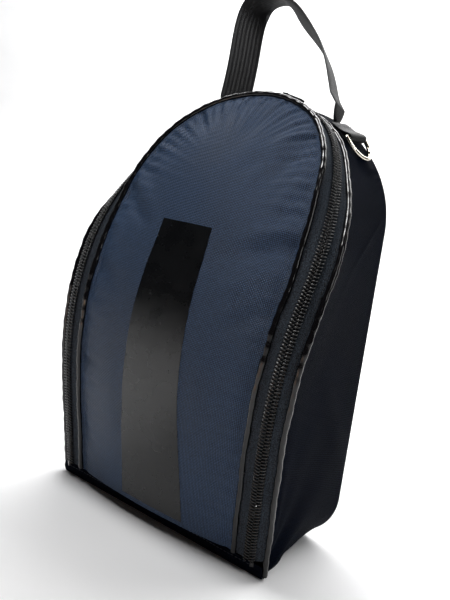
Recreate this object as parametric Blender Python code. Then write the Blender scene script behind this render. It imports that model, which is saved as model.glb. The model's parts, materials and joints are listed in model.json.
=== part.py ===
"""Shoe bag with a zipped, dome-topped front flap.

The front is a bent sheet: its outline is drawn flat, in (x, v), and v runs up a
profile curve that leans forward at the foot and back at the top. Zip tapes, coils and
pipings are sections carried along that outline, and the gusset is lofted from the body
seam to the outline of the back. Metres, +Z up, the front faces -Y, the origin is under
the middle of the bag.
"""

import math

import bpy
import bmesh
import numpy as np
from mathutils import Vector

CLEAR = 0.0003  # gap kept between pieces that touch

# Front sheet: the outline of the closed zip, flat, and its lean up the profile
FRONT_LENGTH = 0.344
TOP_RADIUS = 0.078
TOP_ANGLE = math.radians(58)
SHOULDER_RADIUS = 0.200
SIDE_TAPER = math.radians(-2.1)  # negative: narrower at the foot
FOOT_LEAN = math.radians(-19)
TOP_LEAN = math.radians(25)
LEAN_FROM = 0.18  # share of the length where the lean starts to change
LEAN_TO = 0.80
FOOT_HEIGHT = 0.0015  # end of the body seam above the ground
FOOT_SETBACK = 0.011
PANEL_CROWN = 0.008
FLAP_START = 0.0105  # along the front, where the flap's pieces begin

# Zip
FLAP_TAPE_WIDTH = 0.013
BODY_TAPE_WIDTH = 0.0116
TAPE_THICKNESS = 0.0008
CHAIN_SLIT = 0.0014
COIL_WIDTH = 0.0027
COIL_HEIGHT = 0.0018
TOP_FLARE = math.radians(22)  # slant of the tapes over the top arc
FLAP_FLARE = math.radians(88)  # slant down the sides: 90 lies in the front face
BODY_FLARE = math.radians(64)

# Piping and seams
PIPING_RADIUS = 0.0020
PIPING_SKIN = 0.0005
PIPING_RISE = 0.0009
FLANGE_LENGTH = 0.0070
BINDING_START = 0.0045
BINDING_THICKNESS = 0.0008

# Cloth layers
SKIN = 0.0007
FOAM = 0.0028
LINING = 0.0005
FOAM_INSET = 0.015
LINING_INSET = 0.012
WALL = 0.0012

# Back
BACK_HEIGHT = 0.334
BACK_TOP_RADIUS = 0.095
BACK_TOP_ANGLE = math.radians(50)
BACK_HALF_WIDTH = 0.091
BACK_SIDE_TAPER = math.radians(1.3)
BACK_CORNER_RADIUS = 0.042
BASE_DEPTH = 0.118  # foot of the front to foot of the back
BACK_TOP_SETBACK = 0.06387  # top of the back, behind the foot of the front
BACK_CROWN = 0.006
BACK_BINDING_RADIUS = 0.0011

# Handle
WEBBING_WIDTH = 0.025
WEBBING_THICKNESS = 0.0018
HANDLE_HALF_SPAN = 0.0486
HANDLE_OFFSET = -0.0065  # to the left of the middle
HANDLE_RISE = 0.094
HANDLE_SETBACK = 0.021  # pivot line behind the zip at the top
HANDLE_SQUARENESS = 0.62
HANDLE_LEAN = -0.38
HANDLE_CLOSE = 0.34  # how far the right leg leans in, for the loop's height
HANDLE_TWISTS = np.radians((46, 50, 8, -33, -10))  # left foot to right foot

# Slider, pull, tab and ring
SLIDER_LENGTH = 0.011
SLIDER_WIDTH = 0.0086
SLIDER_GAP = 0.0010
SLIDER_HEADROOM = 0.0011
PLATE = 0.0012
POST = 0.0008
LUG = 0.0016
LUG_HEIGHT = 0.0030
PULL_LENGTH = 0.017
PULL_DROOP = math.radians(9)  # the pull follows the curve of the zip
PULL_WIDTH = 0.0060
PULL_THICKNESS = 0.0014
PULL_EYE_RADIUS = 0.0014
STOP_LENGTH = 0.0035
TAB_ANGLE = math.radians(32.5)
TAB_SHARE = 0.44  # middle of the tab, from the body seam to the back
TAB_LENGTH = 0.017
TAB_LAYER = 0.0015
EYE_DROP = 0.00145  # the eye hangs past the curve of the wall
RING_WIRE_RADIUS = 0.0016
RING_SPAN = 0.0290
RING_DEPTH = 0.018
RING_DROP = math.radians(22)

SIDE_STEPS = 7
SHOULDER_STEPS = 5
TOP_STEPS = 7
CORNER_STEPS = 3  # of the side steps, the ones that go round the back's lower corner
COLUMNS = 8

FLAP_PIECES = (
    "front_panel",
    "front_foam",
    "front_lining",
    "front_piping",
    "front_piping_cord",
    "flap_seam_binding",
    "zip_tape_flap",
    "zip_coil_flap",
)

UP = np.array([0.0, 0.0, 1.0])
BACKWARDS = np.array([0.0, 1.0, 0.0])


# ---------------------------------------------------------------- the front sheet

def smooth(t):
    t = np.clip(t, 0.0, 1.0)
    return t * t * (3 - 2 * t)


def lean_at(v):
    return FOOT_LEAN + (TOP_LEAN - FOOT_LEAN) * smooth(
        (v / FRONT_LENGTH - LEAN_FROM) / (LEAN_TO - LEAN_FROM)
    )


def profile(v, steps=400):
    """(y, z) of the front sheet at v: the sums of sine and cosine of the lean."""
    edges = np.linspace(0.0, FRONT_LENGTH, steps + 1)
    lean = lean_at((edges[1:] + edges[:-1]) / 2)
    step = FRONT_LENGTH / steps
    y = FOOT_SETBACK + np.concatenate([[0.0], np.cumsum(np.sin(lean))]) * step
    z = FOOT_HEIGHT + np.concatenate([[0.0], np.cumsum(np.cos(lean))]) * step
    return np.interp(v, edges, y), np.interp(v, edges, z)


def arc_outline(top, radius, angle, shoulder, taper, foot):
    """Half an outline from the apex down: (x, v, normal angle) of its points."""
    end = math.pi / 2 - taper
    turn = np.linspace(0.0, angle, TOP_STEPS + 1)
    x = radius * np.sin(turn)
    v = top - radius + radius * np.cos(turn)
    centre = (x[-1] - shoulder * math.sin(angle), v[-1] - shoulder * math.cos(angle))
    bend = np.linspace(angle, end, SHOULDER_STEPS + 1)[1:]
    x = np.concatenate([x, centre[0] + shoulder * np.sin(bend)])
    v = np.concatenate([v, centre[1] + shoulder * np.cos(bend)])
    run = np.linspace(0.0, (v[-1] - foot) / math.sin(end), SIDE_STEPS + 1)[1:]
    x = np.concatenate([x, x[-1] + run * math.cos(end)])
    v = np.concatenate([v, v[-1] - run * math.sin(end)])
    return x, v, np.concatenate([turn, bend, np.full(SIDE_STEPS, end)])


class Frames:
    """Places along the zip line, left foot to right foot, with directions at each.

    along is the way the line runs, out is the normal in the front sheet, back is the
    normal through it, and share is 0 over the top arc and 1 down the sides.
    """

    def __init__(self, foot):
        x, v, turn = arc_outline(
            FRONT_LENGTH, TOP_RADIUS, TOP_ANGLE, SHOULDER_RADIUS, SIDE_TAPER, foot
        )
        share = smooth((turn - TOP_ANGLE) / (math.pi / 2 - SIDE_TAPER - TOP_ANGLE))
        lean = lean_at(v)
        y, z = profile(v)
        zero = np.zeros_like(x)
        up = np.stack([zero, np.sin(lean), np.cos(lean)], 1)
        back = np.stack([zero, np.cos(lean), -np.sin(lean)], 1)
        side = np.array([1.0, 0.0, 0.0])
        out = side * np.sin(turn)[:, None] + up * np.cos(turn)[:, None]
        along = side * np.cos(turn)[:, None] - up * np.sin(turn)[:, None]
        mirror = np.array([-1.0, 1.0, 1.0])
        self.place = both_sides(np.stack([x, y, z], 1), mirror)
        self.out = both_sides(out, mirror)
        self.back = both_sides(back, mirror)
        self.along = both_sides(along, -mirror)
        self.share = np.concatenate([share[::-1], share[1:]])
        self.half = len(x)

    def slanted(self, flare):
        """(across, off): across the tape towards the body, and off its outer face."""
        angle = (TOP_FLARE + (flare - TOP_FLARE) * self.share)[:, None]
        across = self.out * np.sin(angle) + self.back * np.cos(angle)
        off = self.out * np.cos(angle) - self.back * np.sin(angle)
        return across, off


def both_sides(right, mirror):
    """A half line from the apex down the right, and its mirror, as one line."""
    return np.concatenate([(right * mirror)[::-1], right[1:]])


# ---------------------------------------------------------------- meshes

def material(name, colour, roughness, metallic=0.0):
    made = bpy.data.materials.new(name)
    made.use_nodes = True
    shader = made.node_tree.nodes["Principled BSDF"]
    shader.inputs["Base Color"].default_value = (*colour, 1.0)
    shader.inputs["Roughness"].default_value = roughness
    shader.inputs["Metallic"].default_value = metallic
    return made


def add_object(name, mesh, finish):
    mesh.materials.append(finish)
    made = bpy.data.objects.new(name, mesh)
    bag.objects.link(made)
    return made


def closed_mesh(name, points, faces, finish, smooth_angle=40):
    """A mesh object from points and faces, welded, with its faces turned outwards."""
    mesh = bpy.data.meshes.new(name)
    mesh.from_pydata([tuple(map(float, p)) for p in points], [], faces)
    work = bmesh.new()
    work.from_mesh(mesh)
    bmesh.ops.remove_doubles(work, verts=work.verts, dist=2e-6)
    bmesh.ops.dissolve_degenerate(work, edges=work.edges, dist=1e-6)
    bmesh.ops.recalc_face_normals(work, faces=work.faces)
    work.to_mesh(mesh)
    work.free()
    mesh.shade_smooth()
    mesh.set_sharp_from_angle(angle=math.radians(smooth_angle))
    return add_object(name, mesh, finish)


def sweep(name, rings, finish):
    """A solid through rings of points, one ring for each station, with flat ends."""
    rings = np.asarray(rings)
    count, around = rings.shape[:2]
    faces = []
    for i in range(count - 1):
        for k in range(around):
            n = (k + 1) % around
            faces.append(
                (i * around + k, i * around + n, (i + 1) * around + n, (i + 1) * around + k)
            )
    faces.append(tuple(range(around)))
    last = (count - 1) * around
    faces.append(tuple(last + k for k in reversed(range(around))))
    return closed_mesh(name, rings.reshape(-1, 3), faces, finish)


def shell(name, outer, inner, finish):
    """The closed wall between two grids of the same size."""
    rows, columns = outer.shape[:2]
    points = np.concatenate([outer.reshape(-1, 3), inner.reshape(-1, 3)])
    offset = rows * columns
    faces = []
    for i in range(rows - 1):
        for j in range(columns - 1):
            # One diagonal everywhere, so that the layers of a bent wall stay apart
            a = i * columns + j
            for face in ((a, a + 1, a + columns + 1), (a, a + columns + 1, a + columns)):
                faces.append(face)
                faces.append(tuple(offset + q for q in reversed(face)))
    rim = [j for j in range(columns)]
    rim += [i * columns + columns - 1 for i in range(1, rows)]
    rim += [(rows - 1) * columns + j for j in reversed(range(columns - 1))]
    rim += [i * columns for i in reversed(range(1, rows - 1))]
    for a, b in zip(rim, rim[1:] + rim[:1]):
        faces.append((a, b, offset + b, offset + a))
    return closed_mesh(name, points, faces, finish)


def section_along(frames, across, off, section, shift=0.0):
    """Rings of a flat section of (across, off) pairs, carried along the frames."""
    section = np.asarray(section, float)
    return (
        frames.place[:, None]
        + across[:, None] * (section[None, :, 0, None] + shift)
        + off[:, None] * section[None, :, 1, None]
    )


def box_section(a0, a1, b0, b1):
    return [(a0, b0), (a1, b0), (a1, b1), (a0, b1)]


# ---------------------------------------------------------------- zip tapes and coils

def zip_half(side, frames, flare, width, sign, finishes):
    """Tape and coil of one side. sign is -1 towards the flap and 1 towards the body."""
    across, off = frames.slanted(flare)
    half = TAPE_THICKNESS / 2
    inner = CHAIN_SLIT / 2
    edge = width - PIPING_RADIUS - CLEAR
    ends = [sign * inner, sign * (inner + COIL_WIDTH), sign * edge]
    outline = [(a, -half) for a in ends] + [(a, half) for a in reversed(ends)]
    tape = section_along(frames, across, off, outline)
    sweep(f"zip_tape_{side}", tape, finishes["tape"])
    ends = sorted([sign * inner, sign * (inner + COIL_WIDTH)])
    low = half + CLEAR
    coil = section_along(frames, across, off, box_section(*ends, low, low + COIL_HEIGHT))
    sweep(f"zip_coil_{side}", coil, finishes["coil"])


# ---------------------------------------------------------------- pipings

def seam_frames(frames, flare, reach, cloth):
    """Place of a piping's centre, and its sideways and inward directions.

    cloth gives the way the cloth leaves the seam. The seam allowance points into the
    bag, halfway between the cloth and the tape.
    """
    across, off = frames.slanted(flare)
    centre = frames.place + across * reach + off * PIPING_RISE
    way = unit(cloth(centre))
    from_tape = -math.copysign(1.0, reach)
    beside = (way * across).sum(1) * -from_tape
    below = -(way * off).sum(1)
    turn = (-from_tape * -np.arctan2(below, beside) / 2)[:, None]
    inward = across * np.sin(turn) - off * np.cos(turn)
    sideways = across * np.cos(turn) + off * np.sin(turn)
    return centre, sideways, inward


def rings_at(seam, section):
    centre, sideways, inward = seam
    section = np.asarray(section, float)
    return (
        centre[:, None]
        + sideways[:, None] * section[None, :, 0, None]
        + inward[:, None] * section[None, :, 1, None]
    )


def circle_section(radius, steps):
    turn = np.arange(steps) * 2 * math.pi / steps
    return np.stack([radius * np.cos(turn), radius * np.sin(turn)], 1)


def skin_section():
    """A strip folded round the cord: a keyhole with two flange layers."""
    inner = PIPING_RADIUS - PIPING_SKIN
    slit = CLEAR / 2
    outer_half = slit + PIPING_SKIN
    start = math.asin(outer_half / PIPING_RADIUS)
    turn = np.linspace(start, 2 * math.pi - start, 9)
    loop = np.stack([PIPING_RADIUS * np.sin(turn), PIPING_RADIUS * np.cos(turn)], 1)
    start = math.asin(slit / inner)
    turn = np.linspace(2 * math.pi - start, start, 7)
    hollow = np.stack([inner * np.sin(turn), inner * np.cos(turn)], 1)
    end = PIPING_RADIUS + FLANGE_LENGTH
    return np.concatenate(
        [
            [(outer_half, end)],
            loop,
            [(-outer_half, end), (-slit, end)],
            hollow,
            [(slit, end)],
        ]
    )


def binding_section():
    """A folded tape over the edge of the flange."""
    inner = CLEAR * 1.5 + PIPING_SKIN
    outer = inner + BINDING_THICKNESS
    start = PIPING_RADIUS + BINDING_START
    end = PIPING_RADIUS + FLANGE_LENGTH + CLEAR
    return [
        (inner, start),
        (outer, start),
        (outer, end + BINDING_THICKNESS),
        (-outer, end + BINDING_THICKNESS),
        (-outer, start),
        (-inner, start),
        (-inner, end),
        (inner, end),
    ]


def piping(name, binding, seam, finishes):
    sweep(name, rings_at(seam, skin_section()), finishes["piping"])
    cord = PIPING_RADIUS - PIPING_SKIN - CLEAR
    sweep(f"{name}_cord", rings_at(seam, circle_section(cord, 6)), finishes["cord"])
    sweep(binding, rings_at(seam, binding_section()), finishes["binding"])


# ---------------------------------------------------------------- the flap's panel

def panel_grid(edge, half, inset, depth, first):
    """Rows across the flap between its two edges, from row first down to the foot."""
    right = edge[half - 1:]
    widest = right[:, 0].max()
    spread = np.linspace(-1.0, 1.0, COLUMNS + 1)
    rows = []
    for x, y, z in right[first:]:
        reach = (x - inset) / x if x > inset else 0.0
        t = spread * reach
        fullness = smooth(np.array(x / widest))
        crown = PANEL_CROWN * (1 - t * t) * fullness
        rows.append(np.stack([x * t, y - crown + depth, np.full_like(t, z)], 1))
    return np.array(rows)


def flap_panel(seam, frames, finishes):
    edge = seam[0] - frames.out * (PIPING_RADIUS + CLEAR)
    layers = [
        ("front_panel", 0.0, 0.0, SKIN, 0, "front"),
        ("front_foam", FOAM_INSET, SKIN + CLEAR, FOAM, 4, "foam"),
        ("front_lining", LINING_INSET, SKIN + FOAM + 2 * CLEAR, LINING, 4, "lining"),
    ]
    for name, inset, depth, thickness, first, finish in layers:
        outer = panel_grid(edge, frames.half, inset, depth, first)
        inner = outer + BACKWARDS * thickness
        shell(name, outer, inner, finishes[finish])


# ---------------------------------------------------------------- body walls

def back_outline():
    """(x, z, outward normal) down half the back, matched step for step to the front."""
    shoulder = (BACK_HALF_WIDTH - BACK_TOP_RADIUS * math.sin(BACK_TOP_ANGLE)) / (
        1 - math.sin(BACK_TOP_ANGLE)
    )
    x, z, turn = arc_outline(
        BACK_HEIGHT,
        BACK_TOP_RADIUS,
        BACK_TOP_ANGLE,
        shoulder,
        BACK_SIDE_TAPER,
        BACK_CORNER_RADIUS,
    )
    keep = TOP_STEPS + SHOULDER_STEPS
    straight = SIDE_STEPS - CORNER_STEPS
    share = np.linspace(0, 1, straight + 1)[1:]
    foot = (x[-1], z[-1])
    side_x = x[keep] + (foot[0] - x[keep]) * share
    side_z = z[keep] + (foot[1] - z[keep]) * share
    end = turn[-1]
    bend = np.linspace(end, math.pi, CORNER_STEPS + 1)[1:]
    radius = BACK_CORNER_RADIUS / (1 + math.cos(end))
    radius = min(radius, foot[1] / (1 + math.cos(math.pi - end)))
    centre = (foot[0] - radius * math.sin(end), foot[1] - radius * math.cos(end))
    corner_x = centre[0] + radius * np.sin(bend)
    corner_z = centre[1] + radius * np.cos(bend)
    corner_z = corner_z - corner_z[-1] * (corner_z[0] - corner_z) / (
        corner_z[0] - corner_z[-1]
    )
    x = np.concatenate([x[: keep + 1], side_x, corner_x])
    z = np.concatenate([z[: keep + 1], side_z, corner_z])
    turn = np.concatenate([turn[: keep + 1], np.full(straight, end), bend])
    return x, z, turn


def back_line():
    """Places on the back's edge, left foot to right foot, and the outward normals."""
    x, z, turn = back_outline()
    foot = FOOT_SETBACK + BASE_DEPTH
    lean = (foot - BACK_TOP_SETBACK) / BACK_HEIGHT
    y = foot - lean * z
    place = np.stack([x, y, z], 1)
    out = np.stack([np.sin(turn), 0 * turn, np.cos(turn)], 1)
    mirror = np.array([-1.0, 1.0, 1.0])
    return both_sides(place, mirror), both_sides(out, mirror)


def unit(a):
    return a / np.linalg.norm(a, axis=-1, keepdims=True)


def grid_normals(grid):
    """Unit normals of a grid of points, from the differences along both its ways."""
    return unit(np.cross(np.gradient(grid, axis=0), np.gradient(grid, axis=1)))


def gusset_grid(seam, along, back, columns=4):
    """The gusset's outer face: straight lines from the body seam to the back's edge."""
    start = seam[0]
    way = unit(back - start)
    square = np.sqrt(1 - (way * along).sum(1, keepdims=True) ** 2)
    front = start + way * (PIPING_RADIUS + 2 * CLEAR) / square
    rear = back - way * CLEAR
    share = np.linspace(0.0, 1.0, columns + 1)
    return front[:, None] + (rear - front)[:, None] * share[None, :, None]


def gusset_pieces(seam, along, back, finishes):
    grid = gusset_grid(seam, along, back)
    normal = grid_normals(grid)
    middle = len(grid) // 2
    if normal[middle, 0, 2] < 0:
        normal = -normal
    shell("gusset", grid, grid - normal * WALL, finishes["side"])
    # The lining stops short of both seams, whose allowances lie in between
    facing = normal[1:-1, 1:-1]
    outer = grid[1:-1, 1:-1] - facing * (WALL + CLEAR)
    shell("gusset_lining", outer, outer - facing * LINING, finishes["lining"])
    return grid, normal


def back_grid(line, depth, inset):
    """Rows across the back between its edges, crowned to the rear."""
    half = len(line) // 2
    right = line[half:]
    widest = right[:, 0].max()
    spread = np.linspace(-1.0, 1.0, COLUMNS + 1)
    rows = []
    for x, y, z in right:
        reach = max(x - inset, 0.0) / x if x > 0 else 0.0
        t = spread * reach
        height = math.sin(math.pi * np.clip(z / BACK_HEIGHT, 0, 1)) ** 0.5
        crown = BACK_CROWN * (1 - t * t) * (x / widest) * height
        rows.append(np.stack([x * t, y + crown - depth, np.full_like(t, z)], 1))
    return np.array(rows)


def back_pieces(line, out, gusset, finishes):
    # The gusset meets the back at a slant, which its wall and the back's widen
    way = unit(gusset[:, 0] - gusset[:, -1])
    slant = (way * -out).sum(1)[:, None]
    corner = np.sqrt(1 - slant * slant)
    edge = line - out * ((WALL + CLEAR + WALL * np.abs(slant)) / corner + CLEAR)
    edge[:, 2] = np.maximum(edge[:, 2], 0.0)
    outer = back_grid(edge, 0.0, 0.0)
    shell("back_panel", outer, outer - BACKWARDS * WALL, finishes["side"])
    inner = back_grid(edge, WALL + CLEAR, LINING_INSET)[5:-3]
    shell("back_lining", inner, inner - BACKWARDS * LINING, finishes["lining"])
    # Binding of the back seam, in the inside corner between gusset and back
    inwards = -out
    radius = BACK_BINDING_RADIUS
    off = (WALL + 3 * CLEAR + radius) / corner
    centre = line + (way + inwards) * off
    steps = 6
    turn = np.arange(steps) * 2 * math.pi / steps
    ring = (
        centre[:, None]
        + way[:, None] * np.cos(turn)[None, :, None] * radius
        + inwards[:, None] * np.sin(turn)[None, :, None] * radius
    )
    sweep("back_seam_binding", ring[3:-3], finishes["binding"])


def base_pieces(gusset, line, finishes):
    """The flat base between the feet of the gusset, and its lining."""
    half_front = gusset[-1, 0, 0] - WALL - 2 * CLEAR
    half_back = line[-1, 0] - WALL - 2 * CLEAR
    front = gusset[-1, 0, 1] - PIPING_RADIUS
    rear = line[-1, 1] - WALL - 2 * CLEAR
    spread = np.linspace(-1.0, 1.0, COLUMNS // 2 + 1)
    for name, inset, low, thickness, finish in (
        ("base_panel", 0.0, 0.0, WALL, "side"),
        ("base_lining", LINING_INSET, WALL + CLEAR, LINING, "lining"),
    ):
        rows = []
        for share in (0.0, 0.5, 1.0):
            y = front + inset + (rear - front - 2 * inset) * share
            reach = half_front + (half_back - half_front) * (y - front) / (rear - front)
            x = spread * (reach - inset)
            rows.append(np.stack([x, np.full_like(x, y), np.full_like(x, low)], 1))
        bottom = np.array(rows)
        shell(name, bottom + UP * thickness, bottom, finishes[finish])


def front_sill(hinge, gusset, finishes):
    """The strip across the foot of the front, under the flap's fold."""
    reach = gusset[-1, 0, 0] - WALL - PIPING_RADIUS - BODY_TAPE_WIDTH / 2
    base_front = gusset[-1, 0, 1] - PIPING_RADIUS - CLEAR
    low, high = CLEAR, hinge[1] - 2 * CLEAR
    lean = math.tan(FOOT_LEAN)
    rings = []
    for x in np.linspace(-reach, reach, 7):
        rings.append(
            [
                (x, base_front - WALL, low),
                (x, base_front, low),
                (x, base_front + lean * (high - low), high),
                (x, base_front - WALL + lean * (high - low), high),
            ]
        )
    sweep("front_sill", rings, finishes["front"])


# ---------------------------------------------------------------- places on the top arc

def top_up():
    return np.array([0.0, math.sin(TOP_LEAN), math.cos(TOP_LEAN)])


def top_frame(angle):
    """Zip line over the top arc: place, and along, across and off at a signed angle."""
    y, z = profile(np.array(FRONT_LENGTH))
    up = top_up()
    back = np.array([0.0, math.cos(TOP_LEAN), -math.sin(TOP_LEAN)])
    side = np.array([1.0, 0.0, 0.0])
    out = side * math.sin(angle) + up * math.cos(angle)
    along = side * math.cos(angle) - up * math.sin(angle)
    centre = np.array([0.0, y, z]) - up * TOP_RADIUS
    across = out * math.sin(TOP_FLARE) + back * math.cos(TOP_FLARE)
    off = out * math.cos(TOP_FLARE) - back * math.sin(TOP_FLARE)
    return centre + out * TOP_RADIUS, along, across, off


def extrude(name, origin, first, second, third, outline, start, end, finish):
    """A flat outline in (first, second), given a thickness from start to end."""
    rings = []
    for depth in (start, end):
        rings.append(
            [origin + first * a + second * b + third * depth for a, b in outline]
        )
    return sweep(name, rings, finish)


def slider_and_pull(side, sign, finishes):
    """A slider beside the top of the arc, and its pull lying outwards along the tape."""
    angle = (SLIDER_LENGTH + SLIDER_GAP) / 2 / TOP_RADIUS
    place, along, across, off = top_frame(sign * angle)
    along = along * sign
    tape = TAPE_THICKNESS / 2
    top = tape + CLEAR + COIL_HEIGHT + SLIDER_HEADROOM
    low = -tape - 2 * CLEAR
    wide, post, lug = SLIDER_WIDTH / 2, POST / 2, LUG / 2
    outline = [
        (-wide, low - PLATE),
        (wide, low - PLATE),
        (wide, low),
        (post, low),
        (post, top),
        (wide, top),
        (wide, top + PLATE),
        (-wide, top + PLATE),
        (-wide, top),
        (-post, top),
        (-post, low),
        (-wide, low),
    ]
    length = SLIDER_LENGTH / 2
    body = extrude(
        f"zip_slider_{side}", place, across, off, along, outline, -length, length,
        finishes["metal"],
    )
    eye = top + PLATE + LUG_HEIGHT - PULL_EYE_RADIUS
    lug_outline = [
        (-0.003, top + PLATE / 2),
        (0.003, top + PLATE / 2),
        (PULL_EYE_RADIUS, top + PLATE + LUG_HEIGHT),
        (-PULL_EYE_RADIUS, top + PLATE + LUG_HEIGHT),
    ]
    bridge = extrude(
        f"bridge_{side}", place, along, off, across, lug_outline, -lug, lug,
        finishes["metal"],
    )
    join(body, bridge)
    centre = top_frame(0.0)[0] - TOP_RADIUS * top_up()
    hang([body, bridge], f"slider_{side}_joint", centre)
    # The pull is a flat strip whose fork straddles the slider's lug
    fork = LUG / 2 + CLEAR
    half = PULL_WIDTH / 2
    tip = PULL_LENGTH
    pull_outline = [
        (-PULL_EYE_RADIUS, -half),
        (tip - half / 2, -half),
        (tip, -half / 2),
        (tip, half / 2),
        (tip - half / 2, half),
        (-PULL_EYE_RADIUS, half),
        (-PULL_EYE_RADIUS, fork),
        (0.0036, fork),
        (0.0036, -fork),
        (-PULL_EYE_RADIUS, -fork),
    ]
    pivot = place + off * eye
    thick = PULL_THICKNESS / 2
    way = along * math.cos(PULL_DROOP) - off * math.sin(PULL_DROOP)
    face = along * math.sin(PULL_DROOP) + off * math.cos(PULL_DROOP)
    pull = extrude(
        f"zip_pull_{side}", pivot, way, across, face, pull_outline, -thick, thick,
        finishes["metal"],
    )
    hang([pull], f"pull_{side}_joint", pivot)


def hang(pieces, name, place):
    """Parents pieces to an empty on their joint's axis, where they are."""
    joint = bpy.data.objects.new(name, None)
    joint.empty_display_size = 0.01
    joint.location = place
    bag.objects.link(joint)
    for piece in pieces:
        piece.parent = joint
        piece.location = [-c for c in place]


def join(target, extra):
    """Boolean union of two of this file's solids, kept as a modifier."""
    cutters.objects.link(extra)
    bag.objects.unlink(extra)
    extra.hide_render = True
    extra.display_type = "WIRE"
    union = target.modifiers.new("join", "BOOLEAN")
    union.operation = "UNION"
    union.solver = "EXACT"
    union.object = extra


# ---------------------------------------------------------------- stops, tab and ring

def zip_stops(frames, finishes):
    """A stitched stop under each end of the coil, on the body's side."""
    across, off = frames.slanted(BODY_FLARE)
    low = TAPE_THICKNESS / 2 + CLEAR
    outline = [
        (CHAIN_SLIT / 2, low),
        (CHAIN_SLIT / 2 + COIL_WIDTH, low),
        (CHAIN_SLIT / 2 + COIL_WIDTH, low + COIL_HEIGHT),
        (CHAIN_SLIT / 2, low + COIL_HEIGHT),
    ]
    for side, end, sign in (("left", 0, -1), ("right", -1, 1)):
        extrude(
            f"zip_stop_{side}", frames.place[end], across[end], off[end],
            frames.along[end] * sign, outline, CLEAR, CLEAR + STOP_LENGTH,
            finishes["stop"],
        )


def gusset_place(gusset, normal, angle, share):
    """Place and directions on the gusset at an angle round the top arc."""
    steps = angle / (TOP_ANGLE / TOP_STEPS)
    middle = len(gusset) // 2
    at = middle + steps
    low = int(math.floor(at))
    part = at - low
    row = gusset[low] * (1 - part) + gusset[low + 1] * part
    place = row[0] + (row[-1] - row[0]) * share
    across = unit(row[-1] - row[0])
    off = unit(normal[low, 2] * (1 - part) + normal[low + 1, 2] * part)
    along = unit(np.cross(across, off))
    if along[0] < 0:
        along = -along
    return place, along, across, off


def tab_section(bar, level):
    """Webbing folded round the ring's bar: two layers and an open eye."""
    inner = RING_WIRE_RADIUS + CLEAR
    outer = inner + TAB_LAYER
    slit = CLEAR / 2
    skin = slit + TAB_LAYER
    start = math.asin(min(skin / outer, 1.0))
    turn = np.linspace(-math.pi + start, math.pi - start, 11)
    loop = [(bar + outer * math.cos(a), level + outer * math.sin(a)) for a in turn]
    start = math.asin(slit / inner)
    turn = np.linspace(math.pi - start, -math.pi + start, 9)
    eye = [(bar + inner * math.cos(a), level + inner * math.sin(a)) for a in turn]
    return (
        [(0.0, level - skin)]
        + loop
        + [(0.0, level + skin), (0.0, level + slit)]
        + eye
        + [(0.0, level - slit)]
    )


def ring_and_tab(gusset, normal, finishes):
    place, along, across, off = gusset_place(gusset, normal, TAB_ANGLE, TAB_SHARE)
    level = TAB_LAYER + CLEAR + RING_WIRE_RADIUS - EYE_DROP
    half = WEBBING_WIDTH / 2
    extrude(
        "ring_tab", place, along, off, across, tab_section(TAB_LENGTH, level),
        -half, half, finishes["webbing"],
    )
    bar = place + along * TAB_LENGTH + off * level
    way = along * math.cos(RING_DROP) - off * math.sin(RING_DROP)
    reach = RING_SPAN / 2
    turn = np.linspace(0.0, math.pi, 15)
    path = [
        bar + across * (reach * math.cos(a)) + way * (RING_DEPTH * math.sin(a) ** 0.8)
        for a in turn
    ]
    curve = bpy.data.curves.new("d_ring", "CURVE")
    curve.dimensions = "3D"
    curve.bevel_depth = RING_WIRE_RADIUS
    curve.bevel_resolution = 2
    spline = curve.splines.new("POLY")
    spline.points.add(len(path) - 1)
    for point, at in zip(spline.points, path):
        point.co = (*at, 1.0)
    spline.use_cyclic_u = True
    ring = add_object("d_ring", curve, finishes["ring"])
    hang([ring], "d_ring_joint", bar)


# ---------------------------------------------------------------- handle

def gusset_height(gusset, x, y):
    """Height of the gusset's outer face above a point, from its straight lines."""
    rows = gusset[np.argsort(gusset[:, 0, 0])]
    share = np.clip((y - rows[:, 0, 1]) / (rows[:, -1, 1] - rows[:, 0, 1]), 0, 1)
    xs = rows[:, 0, 0] + (rows[:, -1, 0] - rows[:, 0, 0]) * share
    zs = rows[:, 0, 2] + (rows[:, -1, 2] - rows[:, 0, 2]) * share
    top = zs > zs.max() - TOP_RADIUS * 0.8
    return float(np.interp(x, xs[top], zs[top]))


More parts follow.
